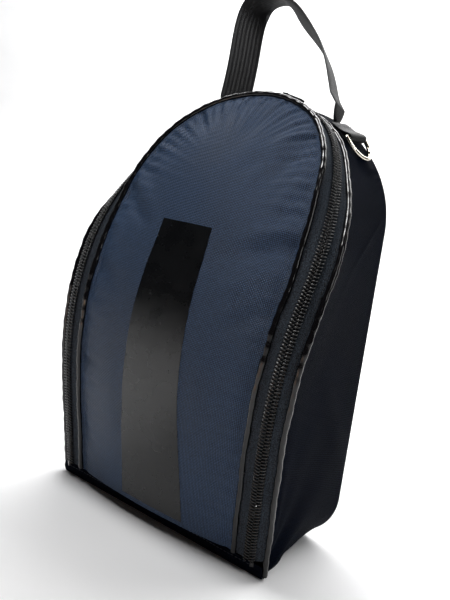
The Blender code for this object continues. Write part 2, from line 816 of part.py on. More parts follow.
def handle(gusset, zip_top, finishes):
    """A webbing loop over the top. Its round ends turn about one line through both."""
    y = zip_top[1] + HANDLE_SETBACK
    half = WEBBING_WIDTH / 2
    span = HANDLE_HALF_SPAN
    # The round end sits above the highest part of the gusset that is under it
    under = []
    for dx in (-half * 0.3, 0.0, half * 0.3):
        for turn in np.linspace(-1.0, 1.0, 9):
            dy = half * turn
            low = half * math.sqrt(max(0.0, 1 - turn * turn))
            for foot in (HANDLE_OFFSET + span, HANDLE_OFFSET - span):
                under.append(gusset_height(gusset, foot + dx * 0.25, y + dy) + low)
    pivot = max(under) + 2 * CLEAR
    rise = HANDLE_RISE - half
    steps = 28
    turn = np.linspace(0.0, math.pi, steps + 1)
    x = -span * np.cos(turn)
    z = rise * np.sin(turn) ** HANDLE_SQUARENESS
    x = x + HANDLE_OFFSET + HANDLE_LEAN * z * np.sin(turn)
    lean_in = HANDLE_CLOSE * rise * (z / rise) ** 0.6
    x = x - lean_in * smooth((turn / math.pi - 0.45) / 0.4)
    line = np.stack([x, np.full_like(x, y), pivot + z], 1)
    way = unit(np.gradient(line, axis=0))
    way[0], way[-1] = UP, -UP
    share = turn / math.pi * (len(HANDLE_TWISTS) - 1)
    low = np.minimum(share.astype(int), len(HANDLE_TWISTS) - 2)
    part = smooth(share - low)
    twist = HANDLE_TWISTS[low] * (1 - part) + HANDLE_TWISTS[low + 1] * part
    wide = np.stack([np.sin(twist), np.cos(twist), 0 * twist], 1)
    wide = unit(wide - way * (wide * way).sum(1, keepdims=True))
    thick = unit(np.cross(wide, way))
    ends = []
    for at, direction in ((0, -1), (-1, 1)):
        for share in (0.97, 0.8, 0.45):
            low = half * share
            width = math.sqrt(1 - share * share)
            ends.append((line[at] - UP * low, width, at))
    rings = []
    for centre, width, at in ends[:3]:
        rings.append(webbing_ring(centre, wide[at], thick[at], width))
    for i in range(steps + 1):
        rings.append(webbing_ring(line[i], wide[i], thick[i], 1.0))
    for centre, width, at in reversed(ends[3:]):
        rings.append(webbing_ring(centre, wide[at], thick[at], width))
    loop = sweep("handle", rings, finishes["webbing"])
    hang([loop], "handle_joint", (HANDLE_OFFSET, y, pivot))


def webbing_ring(centre, wide, thick, share):
    half = WEBBING_WIDTH / 2 * share
    deep = WEBBING_THICKNESS / 2
    return [
        centre - wide * half - thick * deep,
        centre + wide * half - thick * deep,
        centre + wide * half + thick * deep,
        centre - wide * half + thick * deep,
    ]


# ---------------------------------------------------------------- the bag

def centre_depth():
    """Moves the bag along Y, so that its box is centred on the origin."""
    bpy.context.view_layer.update()
    reach = []
    for piece in bag.objects:
        if piece.type != "EMPTY":
            reach += [(piece.matrix_world @ Vector(c)).y for c in piece.bound_box]
    middle = (min(reach) + max(reach)) / 2
    for piece in list(bag.objects) + list(cutters.objects):
        if piece.parent is None:
            piece.location.y -= middle


def build():
    finishes = {
        "front": material("oxford_front", (0.020, 0.034, 0.058), 0.6),
        "side": material("oxford_side", (0.008, 0.011, 0.020), 0.6),
        "tape": material("zip_tape", (0.030, 0.036, 0.045), 0.8),
        "coil": material("nylon_coil", (0.004, 0.004, 0.005), 0.35),
        "stop": material("zip_stop", (0.006, 0.006, 0.007), 0.5),
        "piping": material("gloss_vinyl", (0.006, 0.006, 0.007), 0.15),
        "cord": material("filler_cord", (0.40, 0.38, 0.34), 0.9),
        "binding": material("binding", (0.006, 0.006, 0.008), 0.8),
        "foam": material("foam", (0.45, 0.45, 0.44), 0.95),
        "lining": material("lining", (0.012, 0.013, 0.016), 0.7),
        "webbing": material("webbing", (0.006, 0.006, 0.007), 0.6),
        "metal": material("black_metal", (0.02, 0.02, 0.022), 0.35, 1.0),
        "ring": material("nickel", (0.62, 0.60, 0.56), 0.18, 1.0),
    }
    long_line = Frames(0.0)
    flap_line = Frames(FLAP_START)

    zip_half("flap", flap_line, FLAP_FLARE, FLAP_TAPE_WIDTH, -1, finishes)
    zip_half("body", flap_line, BODY_FLARE, BODY_TAPE_WIDTH, 1, finishes)

    flap_seam = seam_frames(
        flap_line, FLAP_FLARE, -FLAP_TAPE_WIDTH, lambda centre: -flap_line.out
    )
    piping("front_piping", "flap_seam_binding", flap_seam, finishes)
    flap_panel(flap_seam, flap_line, finishes)

    line, out = back_line()
    body_seam = seam_frames(
        long_line, BODY_FLARE, BODY_TAPE_WIDTH, lambda centre: line - centre
    )
    piping("body_piping", "body_seam_binding", body_seam, finishes)
    gusset, normal = gusset_pieces(body_seam, long_line.along, line, finishes)
    back_pieces(line, out, gusset, finishes)
    base_pieces(gusset, line, finishes)

    foot = flap_line.place[-1]
    hinge = (float(foot[1]), float(foot[2]) - 0.0015)
    front_sill(hinge, gusset, finishes)
    flap = [piece for piece in bag.objects if piece.name in FLAP_PIECES]
    hang(flap, "flap_joint", (0.0, *hinge))
    zip_stops(flap_line, finishes)

    for side, sign in (("left", -1), ("right", 1)):
        slider_and_pull(side, sign, finishes)
    ring_and_tab(gusset, normal, finishes)
    top = top_frame(0.0)[0]
    handle(gusset, top, finishes)
    centre_depth()


def main():
    for old in list(bpy.data.objects):
        bpy.data.objects.remove(old)
    build()


bag = bpy.data.collections.new("shoe_bag")
cutters = bpy.data.collections.new("shoe_bag_cutters")
bpy.context.scene.collection.children.link(bag)
bpy.context.scene.collection.children.link(cutters)
main()
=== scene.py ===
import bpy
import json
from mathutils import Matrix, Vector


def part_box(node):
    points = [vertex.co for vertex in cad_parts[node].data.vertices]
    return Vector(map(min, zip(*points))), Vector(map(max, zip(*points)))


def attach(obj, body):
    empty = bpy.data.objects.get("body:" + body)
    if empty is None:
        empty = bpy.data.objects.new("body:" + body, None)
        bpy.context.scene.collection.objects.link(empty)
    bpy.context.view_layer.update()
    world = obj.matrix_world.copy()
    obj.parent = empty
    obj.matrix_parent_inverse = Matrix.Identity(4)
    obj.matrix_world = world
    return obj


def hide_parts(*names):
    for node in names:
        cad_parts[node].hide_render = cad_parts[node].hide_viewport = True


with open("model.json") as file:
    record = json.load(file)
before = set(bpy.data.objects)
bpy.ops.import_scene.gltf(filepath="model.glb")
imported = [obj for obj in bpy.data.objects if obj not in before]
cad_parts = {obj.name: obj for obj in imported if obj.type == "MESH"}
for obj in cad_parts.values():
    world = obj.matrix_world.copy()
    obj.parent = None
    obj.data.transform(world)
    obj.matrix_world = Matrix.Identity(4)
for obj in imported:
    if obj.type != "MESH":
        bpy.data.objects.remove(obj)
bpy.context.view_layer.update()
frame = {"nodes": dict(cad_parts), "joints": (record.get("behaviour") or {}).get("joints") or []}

import json
import math

import bpy
import numpy as np
from mathutils import Matrix

rng = np.random.default_rng(7)

# ---------------------------------------------------------------- sizes of the bag, in metres

FRONT_LENGTH, TOP_RADIUS, TOP_ANGLE = 0.344, 0.078, math.radians(58)
SHOULDER_RADIUS, SIDE_TAPER = 0.200, math.radians(-2.1)
FOOT_LEAN, TOP_LEAN = math.radians(-19), math.radians(25)
LEAN_FROM, LEAN_TO = 0.18, 0.80
FOOT_HEIGHT, FOOT_SETBACK = 0.0015, 0.011
PANEL_CROWN, FLAP_START = 0.008, 0.0105
FLAP_TAPE, BODY_TAPE, TAPE_THICK = 0.013, 0.0116, 0.0008
COIL_WIDTH, COIL_HEIGHT, COIL_PITCH = 0.0040, 0.0026, 0.00235
TOP_FLARE, FLAP_FLARE, BODY_FLARE = map(math.radians, (22, 88, 64))
PIPING, PIPING_RISE, FLANGE = 0.0020, 0.0009, 0.0070
WALL, CLEAR = 0.0012, 0.0003
BACK_HEIGHT, BACK_TOP_RADIUS, BACK_TOP_ANGLE = 0.334, 0.095, math.radians(50)
BACK_HALF_WIDTH, BACK_SIDE_TAPER = 0.091, math.radians(1.3)
BACK_CORNER, BASE_DEPTH, BACK_LEAN, BACK_CROWN = 0.042, 0.118, 0.195, 0.006
WEBBING_WIDTH, WEBBING_THICK = 0.025, 0.0018
TOP_STEPS, SHOULDER_STEPS, SIDE_STEPS, CORNER_STEPS = 64, 56, 96, 36
COLUMNS = 120
UP = np.array([0.0, 0.0, 1.0])
BACKWARDS = np.array([0.0, 1.0, 0.0])
MIRROR = np.array([-1.0, 1.0, 1.0])


# ---------------------------------------------------------------- lines of the bag

def smooth(t):
    t = np.clip(t, 0.0, 1.0)
    return t * t * (3 - 2 * t)


def unit(a):
    return a / np.linalg.norm(a, axis=-1, keepdims=True)


def lean_at(v):
    share = (v / FRONT_LENGTH - LEAN_FROM) / (LEAN_TO - LEAN_FROM)
    return FOOT_LEAN + (TOP_LEAN - FOOT_LEAN) * smooth(share)


def ahead_at(v):
    """The way out of the front at v, square to its lean."""
    lean = lean_at(v)
    return np.stack([0 * lean, -np.cos(lean), np.sin(lean)], -1)


def lengths(path):
    """Running length along a row of places."""
    step = np.linalg.norm(np.diff(path, axis=0), axis=1)
    return np.concatenate([[0.0], np.cumsum(step)])


def sample(at, run, path):
    """Places on a path at the lengths at."""
    return np.stack([np.interp(at, run, path[:, k]) for k in range(path.shape[1])], 1)


def circle(steps, radius):
    turn = np.arange(steps) * 2 * math.pi / steps
    return np.stack([np.cos(turn), np.sin(turn)], 1) * radius


def joint(name):
    return [j for j in frame["joints"] if j["name"] == name][0]


def profile(v, steps=400):
    """(y, z) at v along the front: running sums of sin and cos of the lean."""
    edges = np.linspace(0.0, FRONT_LENGTH, steps + 1)
    lean = lean_at((edges[1:] + edges[:-1]) / 2)
    step = FRONT_LENGTH / steps
    y = FOOT_SETBACK + np.concatenate([[0.0], np.cumsum(np.sin(lean))]) * step
    z = FOOT_HEIGHT + np.concatenate([[0.0], np.cumsum(np.cos(lean))]) * step
    return np.interp(v, edges, y) + SHIFT, np.interp(v, edges, z)


SHIFT = 0.0
SHIFT = joint("flap_hinge")["pos_m"][1] - float(profile(np.array(FLAP_START))[0])


def arc_outline(top, radius, angle, shoulder, taper, foot):
    """Half an outline: an arc over the top, a wider arc, then a straight run."""
    end = math.pi / 2 - taper
    turn = np.linspace(0.0, angle, TOP_STEPS + 1)
    x = radius * np.sin(turn)
    v = top - radius + radius * np.cos(turn)
    centre = (x[-1] - shoulder * math.sin(angle), v[-1] - shoulder * math.cos(angle))
    bend = np.linspace(angle, end, SHOULDER_STEPS + 1)[1:]
    x = np.concatenate([x, centre[0] + shoulder * np.sin(bend)])
    v = np.concatenate([v, centre[1] + shoulder * np.cos(bend)])
    run = np.linspace(0.0, (v[-1] - foot) / math.sin(end), SIDE_STEPS + 1)[1:]
    x = np.concatenate([x, x[-1] + run * math.cos(end)])
    v = np.concatenate([v, v[-1] - run * math.sin(end)])
    return x, v, np.concatenate([turn, bend, np.full(SIDE_STEPS, end)])


def both_sides(right, mirror):
    return np.concatenate([(right * mirror)[::-1], right[1:]])


class Line:
    """The closed zip's line, left foot to right foot, and directions along it."""

    def __init__(self, foot):
        x, v, turn = arc_outline(
            FRONT_LENGTH, TOP_RADIUS, TOP_ANGLE, SHOULDER_RADIUS, SIDE_TAPER, foot
        )
        share = smooth((turn - TOP_ANGLE) / (math.pi / 2 - SIDE_TAPER - TOP_ANGLE))
        lean = lean_at(v)
        y, z = profile(v)
        zero = np.zeros_like(x)
        up = np.stack([zero, np.sin(lean), np.cos(lean)], 1)
        back = np.stack([zero, np.cos(lean), -np.sin(lean)], 1)
        side = np.array([1.0, 0.0, 0.0])
        out = side * np.sin(turn)[:, None] + up * np.cos(turn)[:, None]
        along = side * np.cos(turn)[:, None] - up * np.sin(turn)[:, None]
        self.place = both_sides(np.stack([x, y, z], 1), MIRROR)
        self.out = both_sides(out, MIRROR)
        self.back = both_sides(back, MIRROR)
        self.along = both_sides(along, -MIRROR)
        self.share = np.concatenate([share[::-1], share[1:]])
        self.v = np.concatenate([v[::-1], v[1:]])
        self.half = len(x)
        self.length = lengths(self.place)

    def slanted(self, flare):
        angle = (TOP_FLARE + (flare - TOP_FLARE) * self.share)[:, None]
        across = self.out * np.sin(angle) + self.back * np.cos(angle)
        off = self.out * np.cos(angle) - self.back * np.sin(angle)
        return across, off

    def resampled(self, pitch, *fields):
        """Fields at even steps of length along the line."""
        count = int(self.length[-1] / pitch)
        at = np.linspace(0.0, self.length[-1], count + 1)
        return at, [sample(at, self.length, field) for field in fields]


def seam_frames(line, flare, reach, cloth):
    """Centre of a piping, and its sideways and inward directions."""
    across, off = line.slanted(flare)
    centre = line.place + across * reach + off * PIPING_RISE
    way = unit(cloth(centre))
    from_tape = -math.copysign(1.0, reach)
    beside = (way * across).sum(1) * -from_tape
    below = -(way * off).sum(1)
    turn = (-from_tape * -np.arctan2(below, beside) / 2)[:, None]
    inward = across * np.sin(turn) - off * np.cos(turn)
    return centre, across * np.cos(turn) + off * np.sin(turn), inward


def back_line():
    """Places on the back's edge, left foot to right foot, and outward normals."""
    shoulder = (BACK_HALF_WIDTH - BACK_TOP_RADIUS * math.sin(BACK_TOP_ANGLE)) / (
        1 - math.sin(BACK_TOP_ANGLE)
    )
    x, z, turn = arc_outline(BACK_HEIGHT, BACK_TOP_RADIUS, BACK_TOP_ANGLE, shoulder,
                             BACK_SIDE_TAPER, BACK_CORNER)
    keep = TOP_STEPS + SHOULDER_STEPS
    straight = SIDE_STEPS - CORNER_STEPS
    share = np.linspace(0, 1, straight + 1)[1:]
    side_x = x[keep] + (x[-1] - x[keep]) * share
    side_z = z[keep] + (z[-1] - z[keep]) * share
    end = turn[-1]
    bend = np.linspace(end, math.pi, CORNER_STEPS + 1)[1:]
    radius = BACK_CORNER / (1 + math.cos(end))
    centre = (x[-1] - radius * math.sin(end), z[-1] - radius * math.cos(end))
    corner_x = centre[0] + radius * np.sin(bend)
    corner_z = centre[1] + radius * np.cos(bend)
    corner_z = corner_z - corner_z[-1] * (z[-1] - corner_z) / (z[-1] - corner_z[-1])
    x = np.concatenate([x[: keep + 1], side_x, corner_x])
    z = np.concatenate([z[: keep + 1], side_z, corner_z])
    turn = np.concatenate([turn[: keep + 1], np.full(straight, end), bend])
    y = FOOT_SETBACK + BASE_DEPTH - BACK_LEAN * z + SHIFT
    out = np.stack([np.sin(turn), 0 * turn, np.cos(turn)], 1)
    return both_sides(np.stack([x, y, z], 1), MIRROR), both_sides(out, MIRROR)


# ---------------------------------------------------------------- shader nodes

def srgb(text):
    """Linear colour of a six-digit sRGB hex."""
    values = [int(text[i:i + 2], 16) / 255 for i in (1, 3, 5)]
    return [c / 12.92 if c < 0.04045 else ((c + 0.055) / 1.055) ** 2.4 for c in values] + [1.0]


def add(tree, kind, settings=None, **inputs):
    """A shader node: settings are its properties, inputs are values or sockets."""
    made = tree.nodes.new("ShaderNode" + kind)
    for key, value in (settings or {}).items():
        setattr(made, key, value)
    for key, value in inputs.items():
        name = key.replace("_", " ")
        socket = made.inputs[int(key[1:])] if key[1:].isdigit() else made.inputs[name]
        if isinstance(value, bpy.types.NodeSocket):
            tree.links.new(value, socket)
        else:
            socket.default_value = value
    return made


def calc(tree, operation, a, b=0.0, c=None):
    extra = {} if c is None else {"i2": c}
    return add(tree, "Math", {"operation": operation}, i0=a, i1=b, **extra).outputs[0]


def ribs(tree, value, spacing):
    """|sin(pi value / spacing)|: one rounded rib every spacing."""
    scaled = calc(tree, "MULTIPLY", value, math.pi / spacing)
    return calc(tree, "ABSOLUTE", calc(tree, "SINE", scaled))


def mix(tree, factor, a, b):
    made = add(tree, "Mix", {"data_type": "RGBA"}, i0=factor, i6=a, i7=b)
    return made.outputs[2]


def new_material(name):
    made = bpy.data.materials.new(name)
    made.use_nodes = True
    tree = made.node_tree
    tree.nodes.clear()
    out = add(tree, "OutputMaterial")
    shader = add(tree, "BsdfPrincipled")
    tree.links.new(shader.outputs[0], out.inputs[0])
    return made, tree, shader


def feed(tree, shader, **inputs):
    for key, value in inputs.items():
        socket = shader.inputs[key.replace("_", " ")]
        if isinstance(value, bpy.types.NodeSocket):
            tree.links.new(value, socket)
        else:
            socket.default_value = value


def bump(tree, height, distance, strength=1.0):
    return add(tree, "Bump", Height=height, Distance=distance, Strength=strength).outputs[0]


def uv_mm(tree):
    """The map's u and v, which are real lengths, in millimetres."""
    split = add(tree, "SeparateXYZ", Vector=add(tree, "TexCoord").outputs["UV"])
    return (calc(tree, "MULTIPLY", split.outputs[0], 1000.0),
            calc(tree, "MULTIPLY", split.outputs[1], 1000.0))


def noise(tree, scale, detail, roughness=0.55):
    where = add(tree, "TexCoord").outputs["Object"]
    return add(tree, "TexNoise", Vector=where, Scale=scale, Detail=detail,
               Roughness=roughness).outputs[0]


def ramp(tree, value, low, high, to_low=0.0, to_high=1.0):
    return add(tree, "MapRange", Value=value, i1=low, i2=high, i3=to_low,
               i4=to_high).outputs[0]


def woven(name, crest, gap, pitch, relief, rough, specular=0.35, fade=0.25):
    """Coated plain-woven cloth. su = |sin(pi u / pitch)| and sv the same in v; where
    floor(u / pitch) + floor(v / pitch) is odd a warp thread is on top and its height is
    su (0.55 + 0.45 sv), elsewhere it is sv (0.55 + 0.45 su). The colour runs with that
    height from the gap colour to the crest colour, so the dark gaps between the threads are
    painted shade. It gives the eye fine light crests in diagonal rows over dark gaps, with a
    soft uneven sheen."""
    made, tree, shader = new_material(name)
    u, v = uv_mm(tree)
    u, v = calc(tree, "DIVIDE", u, pitch), calc(tree, "DIVIDE", v, pitch)
    order = calc(tree, "ADD", calc(tree, "FLOOR", u), calc(tree, "FLOOR", v))
    pick = calc(tree, "LESS_THAN", calc(tree, "FLOORED_MODULO", order, 2.0), 0.5)
    su, sv = ribs(tree, u, 1.0), ribs(tree, v, 1.0)
    warp = calc(tree, "MULTIPLY", su, calc(tree, "MULTIPLY_ADD", sv, 0.45, 0.55))
    weft = calc(tree, "MULTIPLY", sv, calc(tree, "MULTIPLY_ADD", su, 0.45, 0.55))
    height = add(tree, "Mix", {"data_type": "FLOAT"}, i0=pick, i2=warp, i3=weft).outputs[0]
    cloud = noise(tree, 9.0, 4.0)
    fleck = noise(tree, 1100.0, 2.0)
    # Colour by the thread's height: the gap colour is painted shade in the low places between the
    # threads
    colour = mix(tree, ramp(tree, height, 0.30, 0.85), srgb(gap), srgb(crest))
    shade = calc(tree, "MULTIPLY", ramp(tree, cloud, 0.3, 0.7, 1.0 - fade, 1.0 + fade),
                 ramp(tree, fleck, 0.3, 0.7, 0.65, 1.35))
    colour = add(tree, "VectorMath", {"operation": "SCALE"}, i0=colour, Scale=shade).outputs[0]
    tone = ramp(tree, cloud, 0.3, 0.7, rough - 0.06, rough + 0.08)
    feed(tree, shader, Base_Color=colour, Roughness=tone, Specular_IOR_Level=specular,
         Normal=bump(tree, height, relief))
    return made


def heather_tape(name):
    """Woven polyester zip tape: streaks of dark and mid grey yarn along the tape, with
    ribs across it. It gives the eye a dull, speckled grey strip."""
    made, tree, shader = new_material(name)
    u, v = uv_mm(tree)
    rib, cord = ribs(tree, v, 0.8), ribs(tree, u, 0.9)  # mm
    fleck = noise(tree, 1500.0, 2.0, 0.7)
    colour = mix(tree, ramp(tree, fleck, 0.38, 0.62), srgb("#0d1014"), srgb("#39414b"))
    height = calc(tree, "ADD", calc(tree, "MULTIPLY", rib, 0.6), cord)
    feed(tree, shader, Base_Color=colour, Roughness=0.85, Specular_IOR_Level=0.2,
         Normal=bump(tree, height, 0.00012))
    return made


def gloss_vinyl(name):
    """Calendered black vinyl folded over a cord: a mirror-like coat over faint wrinkles.
    It gives the eye one thin white highlight that breaks up along the seam."""
    made, tree, shader = new_material(name)
    wrinkle = noise(tree, 260.0, 2.0)
    wear = noise(tree, 40.0, 4.0)
    feed(tree, shader, Base_Color=srgb("#09080a"),
         Roughness=ramp(tree, wear, 0.35, 0.75, 0.12, 0.30), Coat_Weight=0.2,
         Specular_IOR_Level=0.35, Coat_Roughness=0.06, Normal=bump(tree, wrinkle, 0.00025, 0.6))
    return made


def ribbed_webbing(name):
    """Woven polypropylene webbing: chevron picks across ribs. It gives the eye a
    satin black strap whose ribs catch light on their crests."""
    made, tree, shader = new_material(name)
    u, v = uv_mm(tree)
    zigzag = calc(tree, "PINGPONG", u, 1.6)  # mm, as is the picks' spacing
    pick = ribs(tree, calc(tree, "ADD", v, zigzag), 1.3)
    fleck = noise(tree, 500.0, 3.0)
    colour = mix(tree, ramp(tree, fleck, 0.3, 0.8), srgb("#050506"), srgb("#15161a"))
    feed(tree, shader, Base_Color=colour, Roughness=0.55, Specular_IOR_Level=0.25,
         Normal=bump(tree, pick, 0.00018))
    return made


def plain(name, base, rough, metallic=0.0, grain=60.0, spread=0.06, relief=0.00004, coat=0.0):
    """Solid finish with fine grain: roughness wanders by spread. It gives the eye a
    surface that is never one even tone."""
    made, tree, shader = new_material(name)
    cloud = noise(tree, grain, 4.0)
    fine = noise(tree, grain * 22, 2.0)
    low, high = srgb(base), [min(1.0, c * 1.35) for c in srgb(base)[:3]] + [1.0]
    feed(tree, shader, Base_Color=mix(tree, ramp(tree, cloud, 0.3, 0.7), low, high),
         Roughness=ramp(tree, cloud, 0.3, 0.7, rough - spread, rough + spread),
         Metallic=metallic, Coat_Weight=coat, Normal=bump(tree, fine, relief))
    return made


MATERIALS = {
    # The second colour of each woven finish is painted shade for the gaps between its threads
    "front": woven("oxford_600d_coated_navy", "#3c5272", "#04070c", 1.15, 0.00030, 0.42, 0.24),
    "side": woven("oxford_600d_coated_black", "#0d1320", "#030406", 1.15, 0.00018, 0.70, 0.012),
    "tape": heather_tape("polyester_zip_tape_woven"),
    "coil": plain("nylon_monofilament_coil", "#0b0b0d", 0.26, coat=0.3),
    "piping": gloss_vinyl("vinyl_piping_calendered"),
    "webbing": ribbed_webbing("polypropylene_webbing_woven"),
    "binding": woven("polyester_bias_tape", "#141518", "#08080a", 0.5, 0.00006, 0.8, 0.2),
    "lining": woven("polyester_210d_lining", "#1a1c21", "#0d0e11", 0.4, 0.00005, 0.6, 0.3),
    "film": plain("heat_transfer_film_gloss", "#050608", 0.28, relief=0.00001, coat=0.0),
    "thread": plain("bonded_nylon_thread", "#1b1e24", 0.5),
    "metal": plain("black_enamel_zinc", "#101114", 0.32, 0.6),
    "nickel": plain("nickel_plate_on_steel", "#cfc8ba", 0.16, 1.0, 80.0, 0.05, 0.00002),
    "stage": plain("matt_white_paper", "#eeeeef", 0.9, grain=2.0),
}


# ---------------------------------------------------------------- meshes

def grid_quads(rows, columns, wrap=False):
    i, j = np.meshgrid(np.arange(rows - 1), np.arange(columns if wrap else columns - 1),
                       indexing="ij")
    n = (j + 1) % columns
    quads = [i * columns + j, i * columns + n, (i + 1) * columns + n, (i + 1) * columns + j]
    return np.stack([q.reshape(-1) for q in quads], 1)


def place(obj, body, slot, *nodes):
    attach(obj, body)
    if nodes:
        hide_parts(*nodes)
    return obj


def signed(points, quads):
    a, b, c, d = (points[quads[:, k]] for k in range(4))
    return float((a * (np.cross(b, c) + np.cross(c, d))).sum())


def shell(name, outer, inner, finish, uv):
    """The closed wall between two grids of the same size."""
    rows, columns = outer.shape[:2]
    points = np.concatenate([outer.reshape(-1, 3), inner.reshape(-1, 3)])
    n = rows * columns
    front = grid_quads(rows, columns)
    rim = [j for j in range(columns)]
    rim += [i * columns + columns - 1 for i in range(1, rows)]
    rim += [(rows - 1) * columns + j for j in reversed(range(columns - 1))]
    rim += [i * columns for i in reversed(range(1, rows - 1))]
    rim = np.array(rim)
    after = np.roll(rim, -1)
    sides = np.stack([after, rim, n + rim, n + after], 1)
    faces = np.concatenate([front, n + front[:, ::-1], sides])
    if signed(points, faces) < 0:
        faces = faces[:, ::-1]
    return fast(name, points, faces, finish, np.concatenate([uv.reshape(-1, 2)] * 2))


def tube(name, rings, finish, length, around=None, closed=False, sharp=40):
    """A solid through rings (n, k, 3): its sides, and a fan in each end."""
    rings = np.asarray(rings, float)
    count, k = rings.shape[:2]
    if closed:
        rings = np.concatenate([rings, rings[:1]])
    points = rings.reshape(-1, 3)
    faces = grid_quads(len(rings), k, wrap=True)
    step = np.linalg.norm(np.roll(rings[0], -1, 0) - rings[0], axis=1)
    u = np.concatenate([[0.0], np.cumsum(step)[:-1]]) if around is None else around
    uv = np.stack([np.tile(u, len(rings)), np.repeat(length, k)], 1)
    if closed:
        faces = faces % (count * k)
        points, uv = points[: count * k], uv[: count * k]
    else:
        centre = [rings[0].mean(0), rings[-1].mean(0)]
        points = np.concatenate([points, centre])
        uv = np.concatenate([uv, [[0.0, length[0]], [0.0, length[-1]]]])
        low, last = count * k, (count - 1) * k
        j = np.arange(k)
        n = (j + 1) % k
        fans = [np.stack([n, j, np.full(k, low), np.full(k, low)], 1),
                np.stack([last + j, last + n, np.full(k, low + 1), np.full(k, low + 1)], 1)]
        faces = np.concatenate([faces, *fans])
    if signed(points, faces) < 0:
        faces = faces[:, ::-1]
    return fast(name, points, faces, finish, uv, sharp)


def fast(name, points, faces, finish, uv, sharp=40):
    """A mesh object from quads; a quad whose last two corners agree is a triangle."""
    rows = []
    for f in faces.tolist():
        kept = [f[0]]
        for q in f[1:]:
            if q != kept[-1]:
                kept.append(q)
        if kept[0] == kept[-1]:
            kept.pop()
        rows.append(kept)
    mesh = bpy.data.meshes.new(name)
    mesh.from_pydata(points.tolist(), [], rows)
    layer = mesh.uv_layers.new(name="UVMap")
    loops = np.zeros(len(mesh.loops), int)
    mesh.loops.foreach_get("vertex_index", loops)
    layer.data.foreach_set("uv", np.asarray(uv, float)[loops].reshape(-1))
    mesh.materials.append(MATERIALS[finish])
    mesh.shade_smooth()
    mesh.set_sharp_from_angle(angle=math.radians(sharp))
    made = bpy.data.objects.new(name, mesh)
    bpy.context.scene.collection.objects.link(made)
    return made


def rings_at(centre, first, second, section):
    section = np.asarray(section, float)
    return (centre[:, None] + first[:, None] * section[None, :, 0, None]
            + second[:, None] * section[None, :, 1, None])


def normals(grid):
    return unit(np.cross(np.gradient(grid, axis=0), np.gradient(grid, axis=1)))


# ---------------------------------------------------------------- folds

def fold(x, v, at, angle, length, width, height):
    """A ridge or dent: height exp(-(p/length)^2 - (q/width)^2), p along angle."""
    dx, dv = x - at[0] / 1000, v - at[1] / 1000
    c, s = math.cos(math.radians(angle)), math.sin(math.radians(angle))
    p, q = dx * c + dv * s, -dx * s + dv * c
    return height / 1000 * np.exp(-(p * 1000 / length) ** 2 - (q * 1000 / width) ** 2)


FOLD_SCALE = 1.3  # all the panel's folds, against the heights listed
# centre (x, v), angle, half length, half width, height, in mm and degrees
PANEL_FOLDS = [
    ((38, 300), 60, 16, 6, 1.8), ((48, 286), 66, 22, 7, -2.6), ((30, 286), 50, 18, 7, -1.2),
    ((60, 262), 72, 18, 6, 1.6), ((66, 236), 20, 26, 6, 1.5), ((62, 222), 24, 26, 7, -1.9),
    ((54, 196), 30, 24, 7, 1.2), ((62, 172), 34, 26, 7, -1.4), ((68, 140), 38, 22, 7, 0.9),
    ((-66, 250), 142, 22, 6, 1.6), ((-62, 232), 146, 24, 6, -1.9), ((-74, 214), 150, 20, 6, 1.3),
    ((-70, 178), 160, 22, 7, -1.3), ((-76, 150), 165, 20, 6, 1.0), ((-74, 108), 172, 20, 7, -1.0),
    ((-40, 312), 128, 12, 5, -1.2), ((-18, 326), 105, 10, 5, -0.8), ((8, 312), 80, 14, 7, -1.0),
    ((70, 84), 60, 22, 7, -1.2), ((76, 46), 68, 20, 7, 1.0), ((-70, 52), 120, 18, 7, -0.9),
    ((-30, 250), 95, 46, 20, -1.0), ((34, 120), 75, 60, 18, 1.0), ((-44, 90), 100, 50, 18, 0.9),
]


PUCKER_HEIGHT, PUCKER_REACH = 0.00080, 0.0085
PUCKER_PITCH, SLOW_PUCKER_PITCH = 0.0092, 0.0172
SEAM_DIP, SEAM_DIP_AT, SEAM_DIP_WIDTH = 0.0011, 0.004, 0.004
PUCKERS_FROM, PUCKERS_RAMP = 0.20, 0.10  # up the front; below, a quarter is left


def panel_relief(x, v, gap, run):
    """Height of the panel's cloth over its plain crown. gap is the distance in from the
    seam and run is the length along it: puckers are sin(k run) (gap/m) exp(1 - gap/m)."""
    top = smooth((v - PUCKERS_FROM) / PUCKERS_RAMP)
    near = gap / PUCKER_REACH * np.exp(1 - gap / PUCKER_REACH)
    wave = (np.sin(run * 2 * math.pi / PUCKER_PITCH + 1.6 * np.sin(run * 31))
            + 0.6 * np.sin(run * 2 * math.pi / SLOW_PUCKER_PITCH + 1.1))
    height = PUCKER_HEIGHT * near * wave * (0.25 + 0.75 * top)
    height += -SEAM_DIP * np.exp(-((gap - SEAM_DIP_AT) / SEAM_DIP_WIDTH) ** 2)
    for at, angle, length, width, amount in PANEL_FOLDS:
        height += fold(x, v, at, angle, length, width, amount * FOLD_SCALE)
    return height * smooth(gap / SEAM_DIP_AT)


def nearest(points, line, length):
    """Distance from each point to a line of places, and the length along it there."""
    gap = np.empty(len(points))
    run = np.empty(len(points))
    chunk = 2000  # keeps the table of distances small
    for start in range(0, len(points), chunk):
        part = points[start:start + chunk]
        d = np.linalg.norm(part[:, None] - line[None], axis=2)
        k = d.argmin(1)
        gap[start:start + chunk] = d[np.arange(len(part)), k]
        run[start:start + chunk] = length[k]
    return gap, run


# ---------------------------------------------------------------- the flap

flap_line = Line(FLAP_START)
long_line = Line(0.0)
back_edge, back_out = back_line()
flap_seam = seam_frames(flap_line, FLAP_FLARE, -FLAP_TAPE, lambda c: -flap_line.out)
body_seam = seam_frames(long_line, BODY_FLARE, BODY_TAPE, lambda c: back_edge - c)


PANEL_SKIN, LINING, EDGE_TUCK, TUCK_WIDTH = 0.0007, 0.0005, 0.0006, 0.0016
PAD_INSET, PAD_DEPTH, PAD_THICK, PAD_LIFT = 0.014, 0.0014, 0.0030, 0.0002
QUILT_PITCH, QUILT_HEIGHT = 0.030, 0.0005
panel_edge = flap_seam[0] - flap_line.out * (PIPING * 0.55)


